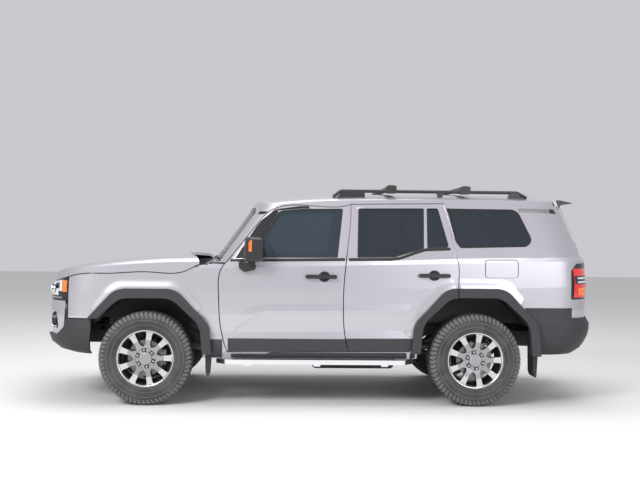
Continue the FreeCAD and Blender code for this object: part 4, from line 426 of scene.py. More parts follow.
def rim_shapes():
    """Left wheel's bright parts and its darker parts, outboard towards -Y."""
    bright, body = Shape(), Shape()
    lip = [(-0.100, 0.2295), (-0.1065, 0.2440), (-0.1095, 0.2440), (-0.1112, 0.2425), (-0.1112, 0.2375),
           (-0.1085, 0.2335), (-0.1035, 0.2290), (-0.0960, 0.2255), (-0.0900, 0.2245)]
    bright.lathe(lip, LATHE_STEPS, closed=False)
    barrel = [(-0.0915, 0.2248), (-0.075, 0.221), (-0.060, 0.214), (-0.040, 0.208), (0.070, 0.208),
              (0.092, 0.222), (0.103, 0.236), (0.105, 0.243), (0.1075, 0.243), (0.1065, 0.228),
              (0.095, 0.214), (0.075, 0.2045), (-0.04, 0.2040), (-0.064, 0.209), (-0.080, 0.2175),
              (-0.0915, 0.2210)]
    body.lathe(barrel, 96, kinds=1)

    radii = [0.088, 0.100, 0.112, 0.120, 0.128, 0.140, 0.160, 0.180, 0.200, 0.212, 0.219, 0.2235, 0.2265]
    pitch = 2 * math.pi / SPOKES

    def half_width(radius):
        width = 0.0215 + 0.0085 * (radius - 0.11) / 0.12
        inner = max(0.0, 1 - (radius - 0.106) / 0.024)
        outer = max(0.0, 1 - (0.2265 - radius) / 0.016)
        root = 0.020 * (1 - math.sqrt(max(0.0, 1 - inner * inner)))
        foot = 0.016 * (1 - math.sqrt(1 - outer * outer))
        return width + root + foot

    def front(radius):
        return -0.0985 + 0.0065 * max(0.0, (0.150 - radius) / 0.06) ** 1.4 - 0.0015 * (radius > 0.149)

    for n in range(SPOKES):
        spin = Matrix.Rotation(-(SPOKE_TURN + n * pitch), 4, "Y")
        verts, faces, kinds = [], [], []
        for radius in radii:
            w, y = half_width(radius), front(radius)
            w = min(w, radius * math.sin(pitch / 2) * 1.02)
            for a, b in ((-w, y + 0.034), (-w, y + 0.006), (-w + 0.0035, y), (w - 0.0035, y), (w, y + 0.006),
                         (w, y + 0.034)):
                verts.append(spin @ Vector((radius, b, a)))
        for i in range(len(radii) - 1):
            for k in range(5):
                a = 6 * i + k
                faces.append((a, a + 1, a + 7, a + 6))
                flat = k in (1, 2, 3)
                kinds.append(0 if flat and radii[i] > 0.145 else 2 if flat else 1)
            faces.append((6 * i + 5, 6 * i, 6 * i + 6, 6 * i + 11))
            kinds.append(1)
        start = len(body.verts)
        body.verts += verts
        body.faces += [[start + v for v in face] for face in faces]
        body.kinds += kinds
    centre = [(-0.060, 0.0), (-0.060, 0.1075), (-0.086, 0.1075), (-0.0905, 0.1035), (-0.0915, 0.094),
              (-0.0905, 0.0875), (-0.086, 0.0845), (-0.0855, 0.060), (-0.090, 0.0575), (-0.0975, 0.0545),
              (-0.0975, 0.0)]
    body.lathe(centre, 90, kinds=[1, 1, 1, 2, 2, 2, 2, 2, 2, 2, 2], closed=False)
    cap = [(-0.090, 0.0), (-0.090, 0.0452), (-0.1005, 0.0445), (-0.1030, 0.0425), (-0.1030, 0.0395),
           (-0.1015, 0.0385), (-0.1015, 0.0)]
    bright.lathe(cap, 72, kinds=[0, 0, 0, 0, 1, 1, 1], closed=False)
    for n in range(NUTS):
        spin = Matrix.Rotation(n * 2 * math.pi / NUTS + NUT_TURN, 4, "Y")
        ring = Shape()
        ring.lathe([(-0.0845, 0.0205), (-0.0882, 0.0205), (-0.0882, 0.0080), (-0.0845, 0.0080)], 24, kinds=3)
        place = spin @ Matrix.Translation((NUT_CIRCLE, 0, 0))
        ring = ring.moved(place)
        body.add(ring.verts, ring.faces, 3)
        corners = [math.radians(60 * k) for k in range(6)]
        hexa = [(NUT_RADIUS * math.cos(a), 0, NUT_RADIUS * math.sin(a)) for a in corners]
        nut = Shape()
        nut.prism([Vector(p) + Vector((0, NUT_SEAT, 0)) for p in hexa], (0, -0.014, 0))
        tip = [Vector(p) * 0.72 + Vector((0, -0.098, 0)) for p in hexa]
        nut.prism(tip, (0, -0.0025, 0))
        nut = nut.moved(place)
        bright.add(nut.verts, nut.faces, 0)
    valve = Shape()
    valve.tube([(0.2150, -0.088, 0.0), (0.2080, -0.104, 0.0)], 0.004, 10)
    valve = valve.moved(Matrix.Rotation(-(SPOKE_TURN + pitch / 2), 4, "Y"))
    body.add(valve.verts, valve.faces, 3)
    disc = [(-0.052, 0.075), (-0.052, 0.155), (-0.026, 0.155), (-0.026, 0.075)]
    body.lathe(disc, 72, kinds=4)
    hat = [(-0.062, 0.030), (-0.062, 0.084), (-0.048, 0.088), (-0.030, 0.088), (-0.030, 0.030)]
    body.lathe(hat, 48, kinds=1)
    return bright, body


tyre, (rim_bright, rim_body) = tyre_shape(), rim_shapes()
for end, hub_x in (("front", FRONT_HUB), ("rear", REAR_HUB)):
    for side, sign in SIDES:
        place = Matrix.Translation((hub_x, sign * HALF_TRACK, HUB_Z)) @ (MIRROR if sign > 0 else Matrix())
        body = "wheel_%s_%s" % (end, side)
        shown = tyre.moved(place).make("tyre_tread_%s_%s" % (end, side), [tyre_rubber, tyre_painted_highlight], body, 28)
        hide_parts("%s_tyre_%s" % (end, side))
        rim_body.moved(place).make("rim_face_%s_%s" % (end, side),
                                   [alloy, alloy_dark, alloy_grey, satin_black, disc_steel], body, 30)
        shown = rim_bright.moved(place).make("rim_lip_%s_%s" % (end, side), [alloy, alloy_grey], body, 35)
        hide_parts("%s_rim_%s" % (end, side))

# Surface finishes by place


def paint_by(name, mats, rule):
    """Give each face of a CAD node the material that a rule picks from its centre and normal."""
    mesh = finish_node(name, mats[0])
    for mat in mats[1:]:
        mesh.materials.append(mat)
    mesh.polygons.foreach_set("material_index", [rule(face.center, face.normal) for face in mesh.polygons])


def inward(centre, normal):
    """True for a face of a hollow side that looks into the cabin."""
    return normal.y * centre.y < -0.25 * abs(centre.y)


LINING_FOOT = 1.30


def door_finish(centre, normal):
    """Paint outside and on the door's edges, plastic and lining on its inner face."""
    outside = abs(centre.y) > 0.915 - 0.40 * max(0, centre.z - 1.25)
    return 0 if outside or not inward(centre, normal) else 1 + (centre.z > LINING_FOOT)


for end in ("front", "rear"):
    for side, sign in SIDES:
        door = "%s_door_%s" % (end, side)
        paint_by(door, [paint, cabin_plastic, lining], door_finish)
        paint_by("%s_door_trim_%s" % (end, side), [dark_plastic, satin_black],
                 lambda c, n, low=1.0 if end == "front" else 1.06: int(c.z > low))
paint_by("body_shell", [paint, cabin_plastic, lining],
         lambda c, n: 1 + (c.z > LINING_FOOT) if inward(c, n) else 0)
paint_by("roof_panel", [paint, lining], lambda c, n: int(n.z < -0.2))
paint_by("tailgate", [paint, cabin_plastic], lambda c, n: int(n.x < -0.2))
paint_by("hood", [paint, chassis_black], lambda c, n: int(n.z < -0.2))
paint_by("fixed_glass", [rear_glass, screen_glass], lambda c, n: int(c.x < 0.2))
paint_by("floor_pan", [chassis_black, carpet], lambda c, n: int(n.z > 0.3))

# Strips on the skin


def skin_of(names):
    """Tree of the faces of some CAD nodes, for rays."""
    verts, faces = [], []
    for name in names:
        mesh = nodes[name].data
        start = len(verts)
        verts += [v.co.copy() for v in mesh.vertices]
        faces += [[start + i for i in face.vertices] for face in mesh.polygons]
    return BVHTree.FromPolygons(verts, faces)


def on_skin(tree, view, a, b, lift):
    """Point of the skin at (x, z) from the side, or at (y, z) from the front or rear, moved out by lift."""
    start, ray = {"side": ((a, -1.6, b), (0, 1, 0)), "front": ((-3.2, a, b), (1, 0, 0)),
                  "rear": ((3.2, a, b), (-1, 0, 0))}[view]
    spot, normal, face, _ = tree.ray_cast(Vector(start), Vector(ray))
    if spot is None:
        return None
    if normal.dot(Vector(ray)) > 0:
        normal = -normal
    return spot + normal * lift


def spread(points, count):
    """Points at even steps along a run of points."""
    points = [Vector(p) for p in points]
    lengths = [0.0]
    for a, b in zip(points, points[1:]):
        lengths.append(lengths[-1] + (b - a).length)
    found = []
    k = 0
    for i in range(count):
        want = lengths[-1] * i / (count - 1)
        while k < len(points) - 2 and lengths[k + 1] < want:
            k += 1
        step = lengths[k + 1] - lengths[k]
        found.append(points[k].lerp(points[k + 1], (want - lengths[k]) / step if step else 0))
    return found


def corner_path(points, radii, steps=8):
    """Run of points whose inner corners are rounded by arcs of the radii."""
    points = [Vector(p) for p in points]
    path = [points[0]]
    for i in range(1, len(points) - 1):
        here = points[i]
        back, on = (points[i - 1] - here).normalized(), (points[i + 1] - here).normalized()
        half = math.acos(max(-1, min(1, back.dot(on)))) / 2
        radius = radii[i]
        if radius <= 0 or half > math.pi / 2 - 0.01:
            path.append(here)
            continue
        reach = radius / math.tan(half)
        centre = here + (back + on).normalized() * (radius / math.sin(half))
        first, last = here + back * reach - centre, here + on * reach - centre
        for k in range(steps + 1):
            t = k / steps
            path.append(centre + (first.lerp(last, t)).normalized() * radius)
    path.append(points[-1])
    return path


def strip(name, tree, low, high, lifts, mat, body, along=60, view="side", smooth=40, both=True):
    """Thin cover between two runs on the skin, and its mirror image on the right if both.

    The lifts are its heights over the skin, from low to high.
    """
    low, high = spread(low, along), spread(high, along)
    rows = []
    for i, lift in enumerate(lifts):
        t = i / (len(lifts) - 1)
        row = []
        for p, q in zip(low, high):
            at = p.lerp(q, t)
            row.append(on_skin(tree, view, at.x, at.y, lift))
        rows.append(row)
    keep = [k for k in range(along) if all(row[k] is not None for row in rows)]
    if len(keep) < 2:
        print("no skin under", name)
        return
    verts = [row[k] for row in rows for k in keep]
    count = len(keep)
    faces = []
    for i in range(len(rows) - 1):
        for k in range(count - 1):
            a = i * count + k
            faces.append((a, a + 1, a + count + 1, a + count))
    outside = {"side": Vector((0, -1, 0)), "front": Vector((-1, 0, 0)), "rear": Vector((1, 0, 0))}[view]
    a, b, c = (verts[i] for i in faces[len(faces) // 2][:3])
    if (b - a).cross(c - b).dot(outside) < 0:
        faces = [face[::-1] for face in faces]
    shape = Shape()
    shape.add(verts, faces)
    shape.make(name, [mat], body, smooth)
    if both:
        shape.moved(MIRROR).make(name + "_right", [mat], body.replace("left", "right"), smooth)


def border(name, node, outside, width, lift, mat, body, inset=0.0005):
    """Band along the edge of a glass, on the side that looks outside."""
    mesh = nodes[node].data
    work = bmesh.new()
    work.from_mesh(mesh)
    faces = [f for f in work.faces if f.normal.dot(outside) > 0.6]
    chosen = set(f.index for f in faces)
    edges = {}
    for face in faces:
        for edge in face.edges:
            if sum(1 for f in edge.link_faces if f.index in chosen) == 1:
                a, b = edge.verts
                edges.setdefault(a.index, []).append(b.index)
                edges.setdefault(b.index, []).append(a.index)
    spots = {v.index: (v.co.copy(), v.normal.copy()) for v in work.verts if v.index in edges}
    normals = {}
    for face in faces:
        for v in face.verts:
            if v.index in edges:
                normals[v.index] = normals.get(v.index, Vector()) + face.normal * face.calc_area()
    work.free()
    left = set(edges)
    shape = Shape()
    while left:
        loop = [left.pop()]
        while True:
            after = [i for i in edges[loop[-1]] if i in left]
            if not after:
                break
            loop.append(after[0])
            left.discard(after[0])
        if len(loop) < 8:
            continue
        points = [spots[i][0] for i in loop]
        outs = [normals[i].normalized() for i in loop]
        middle = sum(points, Vector()) / len(points)
        rows = [[], [], [], []]
        count = len(points)
        for i, (p, n) in enumerate(zip(points, outs)):
            run = (points[(i + 1) % count] - p).normalized() + (p - points[i - 1]).normalized()
            into = n.cross(run).normalized()
            if into.dot(middle - p) < 0:
                into = -into
            rows[0].append(p + into * inset - n * 0.001)
            rows[1].append(p + into * inset + n * lift)
            rows[2].append(p + into * width + n * lift)
            rows[3].append(p + into * width - n * 0.001)
        faces = []
        for r in range(3):
            for i in range(count):
                j = (i + 1) % count
                faces.append((r * count + i, r * count + j, (r + 1) * count + j, (r + 1) * count + i))
        verts = [p for row in rows for p in row]
        face = faces[count]
        if (verts[face[1]] - verts[face[0]]).cross(verts[face[2]] - verts[face[1]]).dot(outside) < 0:
            faces = [f[::-1] for f in faces]
        shape.add(verts, faces)
    if shape.verts:
        shape.make(name, [mat], body, 35)
    else:
        print("no edge found on", node)


for side, sign in SIDES:
    out = Vector((0, sign, 0))
    for end in ("front", "rear"):
        border("window_seal_%s_%s" % (end, side), "%s_door_glass_%s" % (end, side), out, 0.010, 0.0055,
               rubber, "%s_door_%s" % (end, side))
border("quarter_seal_left", "fixed_glass", Vector((0, -1, 0)), 0.026, 0.0008, gloss_black, "body")
border("quarter_seal_right", "fixed_glass", Vector((0, 1, 0)), 0.026, 0.0008, gloss_black, "body")
border("screen_edge", "fixed_glass", Vector((-0.8, 0, 0.6)).normalized(), 0.032, 0.0008, gloss_black, "body")
border("rear_screen_edge", "tailgate_glass", Vector((1, 0, 0.2)).normalized(), 0.034, 0.0008, gloss_black,
       "tailgate")

BODY_SKIN = skin_of(["body_shell"])
DOOR_SKINS = {end: skin_of(["%s_door_left" % end]) for end in ("front", "rear")}
BELT_RUNS = {"front": [(-0.83, 1.243), (-0.66, 1.250), (-0.30, 1.2555), (0.104, 1.263), (0.178, 1.264)],
             "rear": [(0.214, 1.264), (0.58, 1.270), (0.660, 1.280), (0.750, 1.312), (0.836, 1.344),
                      (0.90, 1.359), (1.105, 1.366)]}
for end, run in BELT_RUNS.items():
    strip("belt_strip_%s" % end, DOOR_SKINS[end], [(x, z - 0.012) for x, z in run],
          [(x, z + 0.014) for x, z in run], [0.0002, 0.0045, 0.0060, 0.0045, 0.0015], rubber,
          "%s_door_left" % end)

# Flares round the wheel arches


def arch_path(hub, top, grow):
    """Side view of an arch line, as far outside the opening as grow."""
    half = 0.500 + grow
    points = [(hub - half, 0.300), (hub - 0.93 * half, top - 0.230), (hub - 0.44 * half, top + grow),
              (hub + 0.44 * half, top + grow), (hub + 0.93 * half, top - 0.230), (hub + half, 0.300)]
    return corner_path(points, [0, 0.190, 0.190, 0.190, 0.190, 0])


FLARE = [0.0125, 0.0118, 0.0098, 0.0070, 0.0042, 0.0020, 0.0006, 0.0001]


def flare(name, tree, hub, top, left, right, foot, body):
    """Smooth swelling of the painted skin outside an arch trim, kept between two places."""
    low = spread(arch_path(hub, top, 0.0795), 200)
    high = spread(arch_path(hub, top, 0.165), 200)
    pairs = [(a, b) for a, b in zip(low, high)
             if a.y > foot and b.y > foot and left < a.x < right and left < b.x < right]
    if len(pairs) > 3:
        strip(name, tree, [a for a, b in pairs], [b for a, b in pairs], FLARE, paint, body, along=90,
              smooth=60)


FENDER_SKIN = skin_of(["front_fenders"])
flare("fender_flare", FENDER_SKIN, FRONT_HUB, 0.920, -2.13, -0.918, 0.80, "body")
flare("door_flare", DOOR_SKINS["rear"], REAR_HUB, 0.946, 0.2, 1.150, 0.585, "rear_door_left")
flare("quarter_flare", BODY_SKIN, REAR_HUB, 0.946, 1.170, 2.4, 0.875, "body")

# Sill covers below the doors and behind the front arches

strip("fender_foot", FENDER_SKIN, [(-0.990, 0.408), (-0.838, 0.408)], [(-0.990, 0.568), (-0.838, 0.568)],
      [0.0003, 0.010, 0.012, 0.012, 0.010, 0.0003], dark_plastic, "body", along=14)
strip("sill_cover", BODY_SKIN, [(-0.835, 0.407), (0.80, 0.407)], [(-0.835, 0.462), (0.80, 0.462)],
      [0.0003, 0.006, 0.006, 0.0003], dark_plastic, "body", along=40)

# Lamps

FACE_ON = Matrix.Rotation(math.radians(-90), 4, "Z")
LAMP_SKIN = skin_of(["headlamps"])
TAIL_SKIN = skin_of(["tail_lamps"])
PILLOW = [0.0004, 0.0030, 0.0042, 0.0042, 0.0030, 0.0004]
strip("lamp_lens_side", LAMP_SKIN, [(-2.366, 0.966), (-2.262, 0.966)], [(-2.366, 1.044), (-2.262, 1.062)],
      PILLOW, lamp_white, "body", along=16)
strip("lamp_inset_side", LAMP_SKIN, [(-2.330, 0.986), (-2.286, 0.986)], [(-2.330, 1.036), (-2.286, 1.036)],
      [0.0044, 0.0052, 0.0052, 0.0044], gloss_black, "body", along=8)
strip("lamp_amber_side", LAMP_SKIN, [(-2.258, 0.962), (-2.212, 0.962)], [(-2.258, 1.062), (-2.212, 1.056)],
      PILLOW, lamp_amber, "body", along=8)
strip("lamp_lens_front", LAMP_SKIN, [(-0.800, 0.930), (-0.572, 0.930)], [(-0.800, 1.036), (-0.572, 1.030)],
      PILLOW, lamp_white, "body", along=24, view="front")
for end, low, high in (("low", 0.905, 0.917), ("high", 1.046, 1.052)):
    strip("lamp_rim_%s" % end, LAMP_SKIN, [(-0.84, low), (-0.56, low)], [(-0.84, high), (-0.56, high)],
          [0.0002, 0.003, 0.0002], alloy_grey, "body", along=20, view="front")
for y, z, radius in ((-0.635, 0.982, 0.040), (-0.738, 0.982, 0.040)):
    spot = on_skin(LAMP_SKIN, "front", y, z, 0.0)
    for side, sign in SIDES:
        eye = Shape()
        eye.lathe([(0.0, 0.0), (-0.0045, 0.0), (-0.0075, radius * 0.45), (-0.0060, radius * 0.72),
                   (-0.0035, radius * 0.76), (-0.0080, radius * 0.90), (-0.0090, radius * 0.97),
                   (-0.0040, radius), (0.004, radius), (0.004, 0.0)], 48,
                  kinds=[0, 0, 0, 1, 1, 2, 2, 2, 2, 2], closed=False)
        place = Matrix.Translation((spot.x - 0.003, sign * abs(spot.y), z)) @ FACE_ON
        eye.moved(place).make("lamp_eye_%s_%d" % (side, round(-y * 1000)),
                              [lamp_lens_blue, gloss_black, alloy], "body", 35)

LENS = [0.0003, 0.0045, 0.0065, 0.0065, 0.0045, 0.0003]
BARS = [0.0070, 0.0086, 0.0070]
strip("tail_lens_side", TAIL_SKIN, [(2.196, 0.952), (2.332, 0.952)], [(2.196, 1.186), (2.332, 1.206)], LENS,
      lamp_red, "body", along=20)
strip("tail_lens_rear", TAIL_SKIN, [(-0.900, 0.952), (-0.700, 0.952)], [(-0.900, 1.206), (-0.700, 1.206)],
      LENS, lamp_red, "body", along=20, view="rear")
for k, z in enumerate((1.080, 1.112)):
    strip("tail_white_side_%d" % k, TAIL_SKIN, [(2.262, z), (2.318, z)],
          [(2.262, z + 0.017), (2.318, z + 0.017)], BARS, lamp_white, "body", along=10)
    strip("tail_white_rear_%d" % k, TAIL_SKIN, [(-0.870, z), (-0.750, z)],
          [(-0.870, z + 0.017), (-0.750, z + 0.017)], BARS, lamp_white, "body", along=12, view="rear")
strip("tail_dark_side", TAIL_SKIN, [(2.250, 1.066), (2.330, 1.066)], [(2.250, 1.142), (2.330, 1.142)],
      [0.0064, 0.0074, 0.0074, 0.0064], gloss_black, "body", along=10)
strip("tail_dark_rear", TAIL_SKIN, [(-0.886, 1.066), (-0.734, 1.066)], [(-0.886, 1.142), (-0.734, 1.142)],
      [0.0064, 0.0074, 0.0074, 0.0064], gloss_black, "body", along=14, view="rear")
strip("tail_amber_side", TAIL_SKIN, [(2.255, 0.972), (2.318, 0.972)], [(2.255, 1.036), (2.318, 1.036)],
      [0.0066, 0.0080, 0.0080, 0.0066], lamp_amber, "body", along=10)
strip("tail_amber_rear", TAIL_SKIN, [(-0.870, 0.972), (-0.750, 0.972)], [(-0.870, 1.036), (-0.750, 1.036)],
      [0.0066, 0.0080, 0.0080, 0.0066], lamp_amber, "body", along=12, view="rear")

# Nose: core behind the grilles, mesh, fog lamps and plates

core = Shape()
core.box((-2.330, -0.52, 0.600), (-2.305, 0.52, 1.030))
core.make("radiator_core", [gloss_black], "body")
FINS, FIN_PITCH, UPRIGHTS, UPRIGHT_PITCH = 9, 0.012, 52, 0.02
fins = Shape()
for i in range(FINS):
    z = 0.630 + FIN_PITCH * i
    fins.box((-2.352, -0.50, z), (-2.338, 0.50, z + 0.004))
for i in range(UPRIGHTS):
    y = -0.51 + UPRIGHT_PITCH * i
    fins.box((-2.346, y - 0.0015, 0.610), (-2.336, y + 0.0015, 1.020))
fins.make("grille_mesh", [satin_black], "body")

for side, sign in SIDES:
    fog = Shape()
    fog.lathe([(0.03, 0.0), (0.03, 0.060), (-0.006, 0.060), (-0.010, 0.052), (0.0, 0.046), (-0.004, 0.030),
               (-0.006, 0.0)], 40, kinds=[1, 1, 1, 1, 0, 0, 0], closed=False)
    place = Matrix.Translation((-2.350, sign * 0.720, 0.720)) @ FACE_ON
    fog.moved(place).make("fog_lamp_%s" % side, [lamp_white, satin_black], "body", 35)

FRONT_SKIN = skin_of(["front_bumper", "front_guard", "grille"])
spot = on_skin(FRONT_SKIN, "front", 0.12, 0.80, 0.0)
plate = Shape()
plate.box((spot.x - 0.006, -0.260, 0.750), (spot.x + 0.02, 0.260, 0.860), 1)
plate.box((spot.x - 0.009, -0.252, 0.756), (spot.x - 0.005, 0.252, 0.854), 0)
plate.make("front_plate", [plate_white, satin_black], "body")

# Wipers

SCREEN_SKIN = skin_of(["fixed_glass"])


def wiper(name, tree, view, hinge, foot, tip, body):
    """Arm from its hinge to a blade that lies on the glass."""
    shape = Shape()
    run = spread([foot, tip], 14)
    edge = [on_skin(tree, view, p.x, p.y, 0.009) for p in run]
    edge = [p for p in edge if p is not None]
    if len(edge) < 3:
        print("no glass under", name)
        return
    shape.tube(edge, 0.0055, 6)
    lower = [on_skin(tree, view, p.x, p.y, 0.003) for p in run]
    shape.tube([p for p in lower if p is not None], 0.0022, 6)
    middle = edge[len(edge) // 2]
    out = (edge[0] - lower[0]).normalized() if lower[0] is not None else Vector((0, 0, 1))
    arm = [hinge, hinge.lerp(middle, 0.3) + out * 0.016, hinge.lerp(middle, 0.8) + out * 0.012,
           middle + out * 0.004]
    shape.tube(arm, 0.006, 8)
    shape.tube([hinge - Vector((0, 0, 0.02)), hinge + Vector((0, 0, 0.012))], 0.014, 14)
    shape.make(name, [satin_black], body, 40)


for k, (y0, foot, tip) in enumerate(((-0.52, (-0.68, 1.262), (0.0, 1.268)),
                                     (0.10, (-0.02, 1.300), (0.58, 1.290)))):
    wiper("wiper_%d" % k, SCREEN_SKIN, "front", Vector((-0.965, y0 + 0.10, 1.235)), foot, tip, "body")
GATE_GLASS = skin_of(["tailgate_glass"])
wiper("rear_wiper", GATE_GLASS, "rear", Vector((2.325, 0.0, 1.335)), (0.02, 1.385), (0.36, 1.400), "tailgate")

# Tailgate: handle strip and plate

GATE_SKIN = skin_of(["tailgate"])
strip("gate_strip", GATE_SKIN, [(-0.40, 1.135), (0.40, 1.135)], [(-0.40, 1.185), (0.40, 1.185)],
      [0.0002, 0.012, 0.016, 0.016, 0.012, 0.0002], satin_black, "tailgate", along=30, view="rear",
      both=False)
spot = on_skin(GATE_SKIN, "rear", 0.0, 1.05, 0.0)
plate = Shape()
plate.box((spot.x - 0.02, -0.275, 0.975), (spot.x + 0.004, 0.275, 1.120), 1)
plate.box((spot.x + 0.003, -0.258, 0.990), (spot.x + 0.008, 0.258, 1.100), 0)
for y in (-0.16, 0.16):
    plate.box((spot.x - 0.01, y - 0.03, 1.122), (spot.x + 0.014, y + 0.03, 1.134), 2)
plate.make("rear_plate", [plate_white, satin_black, lamp_white], "tailgate")

# Mirror glass and lamp strip

MIRROR_STEPS = 6
for side, sign in SIDES:
    tree = skin_of(["front_door_trim_%s" % side])
    rows = []
    for z, y0, y1 in ((1.262, -0.985, -1.085), (1.300, -0.975, -1.115), (1.350, -0.972, -1.125),
                      (1.400, -0.972, -1.122), (1.432, -0.985, -1.100)):
        row = []
        for i in range(MIRROR_STEPS + 1):
            y = -sign * (y0 + (y1 - y0) * i / MIRROR_STEPS)
            row.append(on_skin(tree, "rear", y, z, 0.0015))
        rows.append(row)
    if all(p is not None for row in rows for p in row):
        verts = [p for row in rows for p in row]
        count = MIRROR_STEPS + 1
        starts = [count * r + i for r in range(len(rows) - 1) for i in range(MIRROR_STEPS)]
        faces = [(k, k + 1, k + count + 1, k + count) for k in starts]
        if sign > 0:
            faces = [f[::-1] for f in faces]
        add_mesh("mirror_glass_%s" % side, verts, faces, mirror_silver, "front_door_%s" % side, 60)
    else:
        print("mirror glass misses", side)

strip("mirror_lamp", skin_of(["front_door_trim_left"]), [(-0.648, 1.330), (-0.622, 1.330)],
      [(-0.648, 1.424), (-0.622, 1.424)], [0.0003, 0.004, 0.004, 0.0003], lamp_amber, "front_door_left",
      along=6)

# Steps: raised studs and edge ribs on the boards

STEP_TOP, STEP_END = 0.400, 0.155
RIB_ROWS, RIBS_IN_ROW, RIB_PITCH, ROW_PITCH = 3, 52, 0.0285, 0.038
low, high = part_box("side_steps")
ribs = Shape()
for sign in (-1, 1):
    for k in range(RIB_ROWS):
        y = sign * (0.862 + ROW_PITCH * k)
        for i in range(RIBS_IN_ROW):
            x = low[0] + STEP_END + RIB_PITCH * i + 0.014 * (k % 2)
            if x < high[0] - STEP_END:
                ribs.box((x - 0.0085, y - 0.0055, STEP_TOP - 0.001),
                         (x + 0.0085, y + 0.0055, STEP_TOP + 0.0022))
ribs.make("step_ribs", [rubber], "body")

# Cups behind the door handles

CUP_RINGS, CUP_SPOKES, CUP_HALF_LENGTH, CUP_HALF_HEIGHT = 8, 28, 0.052, 0.046
for end, x, z in (("front", 0.000, 1.117), ("rear", 0.955, 1.135)):
    cup = Shape()
    rows = []
    for i in range(CUP_RINGS + 1):
        r = i / CUP_RINGS
        rise = 0.0015 + 0.0035 * math.sin(math.pi * min(1, max(0, (r - 0.62) / 0.38)))
        for k in range(CUP_SPOKES):
            angle = 2 * math.pi * k / CUP_SPOKES
            rows.append(on_skin(DOOR_SKINS[end], "side", x + CUP_HALF_LENGTH * r * math.cos(angle),
                                z + CUP_HALF_HEIGHT * r * math.sin(angle), rise))
    faces = [(CUP_SPOKES * i + k, CUP_SPOKES * i + (k + 1) % CUP_SPOKES,
              CUP_SPOKES * (i + 1) + (k + 1) % CUP_SPOKES, CUP_SPOKES * (i + 1) + k)
             for i in range(CUP_RINGS) for k in range(CUP_SPOKES)]
    cup.add(rows, [f[::-1] for f in faces])
    for side, sign in SIDES:
        shape = cup if sign < 0 else cup.moved(MIRROR)
        shape.make("handle_cup_%s_%s" % (end, side), [satin_black], "%s_door_%s" % (end, side), 50)

# Groove at the rear pillar, drawn as a raised grey strip whose grey is painted shade of the groove, and the
# black corner behind it

# Grey strip: painted shade standing in for the recess of the groove.
strip("pillar_groove_shade", BODY_SKIN, [(1.734, 1.699), (1.90, 1.697), (2.02, 1.694)],
      [(1.734, 1.735), (1.90, 1.733), (2.02, 1.730)], [0.0004, 0.0016, 0.0016, 0.0004], alloy_grey, "body",
      along=24)
strip("pillar_corner", BODY_SKIN, [(2.024, 1.694), (2.09, 1.690)], [(2.024, 1.734), (2.07, 1.730)],
      [0.0004, 0.0022, 0.0022, 0.0004], gloss_black, "body", along=12)

# Black frame ahead of and over the front window, and the band across the windscreen pillar

FRAME = [0.0003, 0.0016, 0.0016, 0.0003]
strip("window_sail", DOOR_SKINS["front"], [(-0.817, 1.264), (-0.552, 1.598), (-0.430, 1.700)],
      [(-0.640, 1.268), (-0.470, 1.560), (-0.398, 1.680)], FRAME, gloss_black, "front_door_left", along=50)
strip("window_top", DOOR_SKINS["front"], [(-0.398, 1.688), (-0.2035, 1.708), (0.168, 1.714)],
      [(-0.430, 1.700), (-0.2135, 1.730), (0.165, 1.738)], FRAME, gloss_black, "front_door_left", along=50)
strip("pillar_band", BODY_SKIN, [(-0.581, 1.654), (-0.459, 1.654)], [(-0.570, 1.681), (-0.448, 1.681)],
      FRAME, gloss_black, "body", along=14)

# Crease low on the doors, sharp below and soft above

CREASE = [0.0002, 0.0060, 0.0056, 0.0042, 0.0026, 0.0012, 0.0002]
strip("door_crease_front", DOOR_SKINS["front"],
      [(-0.812, 0.600), (-0.700, 0.690), (-0.560, 0.776), (-0.480, 0.792), (0.152, 0.797)],
      [(-0.860, 0.690), (-0.760, 0.780), (-0.610, 0.860), (-0.500, 0.880), (0.146, 0.885)], CREASE, paint,
      "front_door_left", along=80, smooth=28)
strip("door_crease_rear", DOOR_SKINS["rear"], [(0.186, 0.797), (0.735, 0.804)],
      [(0.178, 0.885), (0.770, 0.892)], CREASE, paint, "rear_door_left", along=60, smooth=28)

# Cabin: console, screen and belts


def rounded_box(shape, low, high, radius, kind=0):
    """Box whose edges along X are rounded."""
    x0, y0, z0 = low
    x1, y1, z1 = high
    outline = []
    for cy, cz, start in ((y1 - radius, z1 - radius, 0), (y0 + radius, z1 - radius, 90),
                          (y0 + radius, z0 + radius, 180), (y1 - radius, z0 + radius, 270)):
        for k in range(4):
            angle = math.radians(start + 30 * k)
            outline.append(Vector((x0, cy + radius * math.cos(angle), cz + radius * math.sin(angle))))
    shape.prism(outline, (x1 - x0, 0, 0), kind)


cabin = Shape()
rounded_box(cabin, (-0.62, -0.115, 0.62), (0.02, 0.115, 0.80), 0.03, 0)
rounded_box(cabin, (-0.06, -0.105, 0.801), (0.26, 0.105, 0.915), 0.03, 1)
rounded_box(cabin, (-0.40, -0.085, 0.801), (-0.20, 0.085, 0.812), 0.004, 2)
cabin.tube([(-0.30, 0.0, 0.805), (-0.30, 0.0, 0.90)], 0.008, 12, 2)
cabin.box((-0.335, -0.022, 0.895), (-0.265, 0.022, 0.945), 1)
for y in (-0.055, 0.055):
    cabin.tube([(-0.52, y, 0.795), (-0.52, y, 0.812)], 0.038, 20, 2)
cabin.make("centre_console", [cabin_plastic, cloth, gloss_black], "body", 30)
low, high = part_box("dashboard")
screen = Shape()
rounded_box(screen, (high[0] - 0.09, -0.155, high[2] - 0.10), (high[0] - 0.072, 0.155, high[2] + 0.055),
            0.012, 0)
screen.make("centre_screen", [gloss_black], "body", 30)

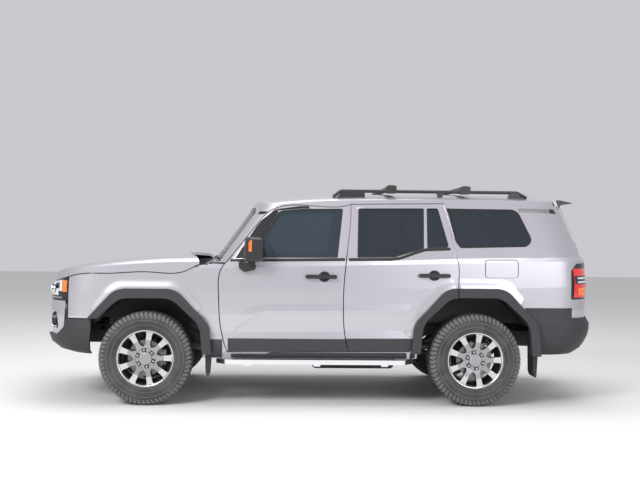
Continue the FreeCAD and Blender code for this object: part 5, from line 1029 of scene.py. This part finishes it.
BELT_TOP, BELT_FOOT, BELT_THICK = 1.50, 0.86, 0.0015
for x in (0.245, 1.10):
    for side, sign in SIDES:
        belt = Shape()
        y = sign * 0.735
        foot_y = y - sign * 0.03
        belt.prism([(x - 0.022, y, BELT_TOP), (x + 0.022, y, BELT_TOP), (x + 0.05, foot_y, BELT_FOOT),
                    (x + 0.006, foot_y, BELT_FOOT)], (0, sign * BELT_THICK, 0))
        belt.make("belt_%s_%d" % (side, round(x * 100)), [rubber], "body")

# Stage, lights and camera

FLOOR_REACH = 30
floor_mesh = bpy.data.meshes.new("floor")
floor_corners = [(x * FLOOR_REACH, y * FLOOR_REACH, 0) for x, y in ((-1, -1), (1, -1), (1, 1), (-1, 1))]
floor_mesh.from_pydata(floor_corners, [], [(0, 1, 2, 3)])
floor = bpy.data.objects.new("studio_floor", floor_mesh)
bpy.context.scene.collection.objects.link(floor)
floor_mesh.materials.append(material("floor_pale", (0.74, 0.735, 0.73), rough=0.7))

world = bpy.data.worlds.new("studio")
bpy.context.scene.world = world
world.use_nodes = True
background = world.node_tree.nodes["Background"]
background.inputs["Color"].default_value = (0.88, 0.89, 0.92, 1)
background.inputs["Strength"].default_value = 0.66


def area_light(name, place, target, width, height, power, color=(1, 1, 1)):
    """Soft rectangular light that looks at a point."""
    data = bpy.data.lights.new(name, "AREA")
    data.shape = "RECTANGLE"
    data.size, data.size_y = width, height
    data.energy = power
    data.color = color
    lamp = bpy.data.objects.new(name, data)
    lamp.location = place
    lamp.rotation_euler = (Vector(target) - Vector(place)).to_track_quat("-Z", "Y").to_euler()
    bpy.context.scene.collection.objects.link(lamp)


area_light("key", (-5.5, -8.0, 6.5), (0, 0, 0.9), 4, 3, 860, (1.0, 0.985, 0.96))
area_light("top", (0.5, 0.5, 7.5), (0, 0, 0.8), 8, 5, 380)
area_light("side", (5.0, -8.5, 3.2), (0.6, 0, 0.9), 5, 3, 210, (0.96, 0.98, 1.0))

CAMERA_AT = Vector((-0.3841, -8.9179, 1.4301))
YAW, PITCH, ROLL = 0.0429, 0.0003, 0.0117
FOCAL_PX, SENSOR_MM, PICTURE_PX = 926.2331, 36, 640
camera_data = bpy.data.cameras.new("camera")
camera_data.sensor_width = SENSOR_MM
camera_data.lens = FOCAL_PX * SENSOR_MM / PICTURE_PX
camera = bpy.data.objects.new("camera", camera_data)
forward = Vector((math.sin(YAW) * math.cos(PITCH), math.cos(YAW) * math.cos(PITCH), math.sin(PITCH)))
level = Vector((math.cos(YAW), -math.sin(YAW), 0))
up = level.cross(forward)
right = level * math.cos(ROLL) + up * math.sin(ROLL)
true_up = up * math.cos(ROLL) - level * math.sin(ROLL)
turn = Matrix((right, true_up, -forward)).transposed().to_4x4()
camera.matrix_world = Matrix.Translation(CAMERA_AT) @ turn
bpy.context.scene.collection.objects.link(camera)
bpy.context.scene.camera = camera
bpy.context.scene.view_settings.view_transform = "Standard"
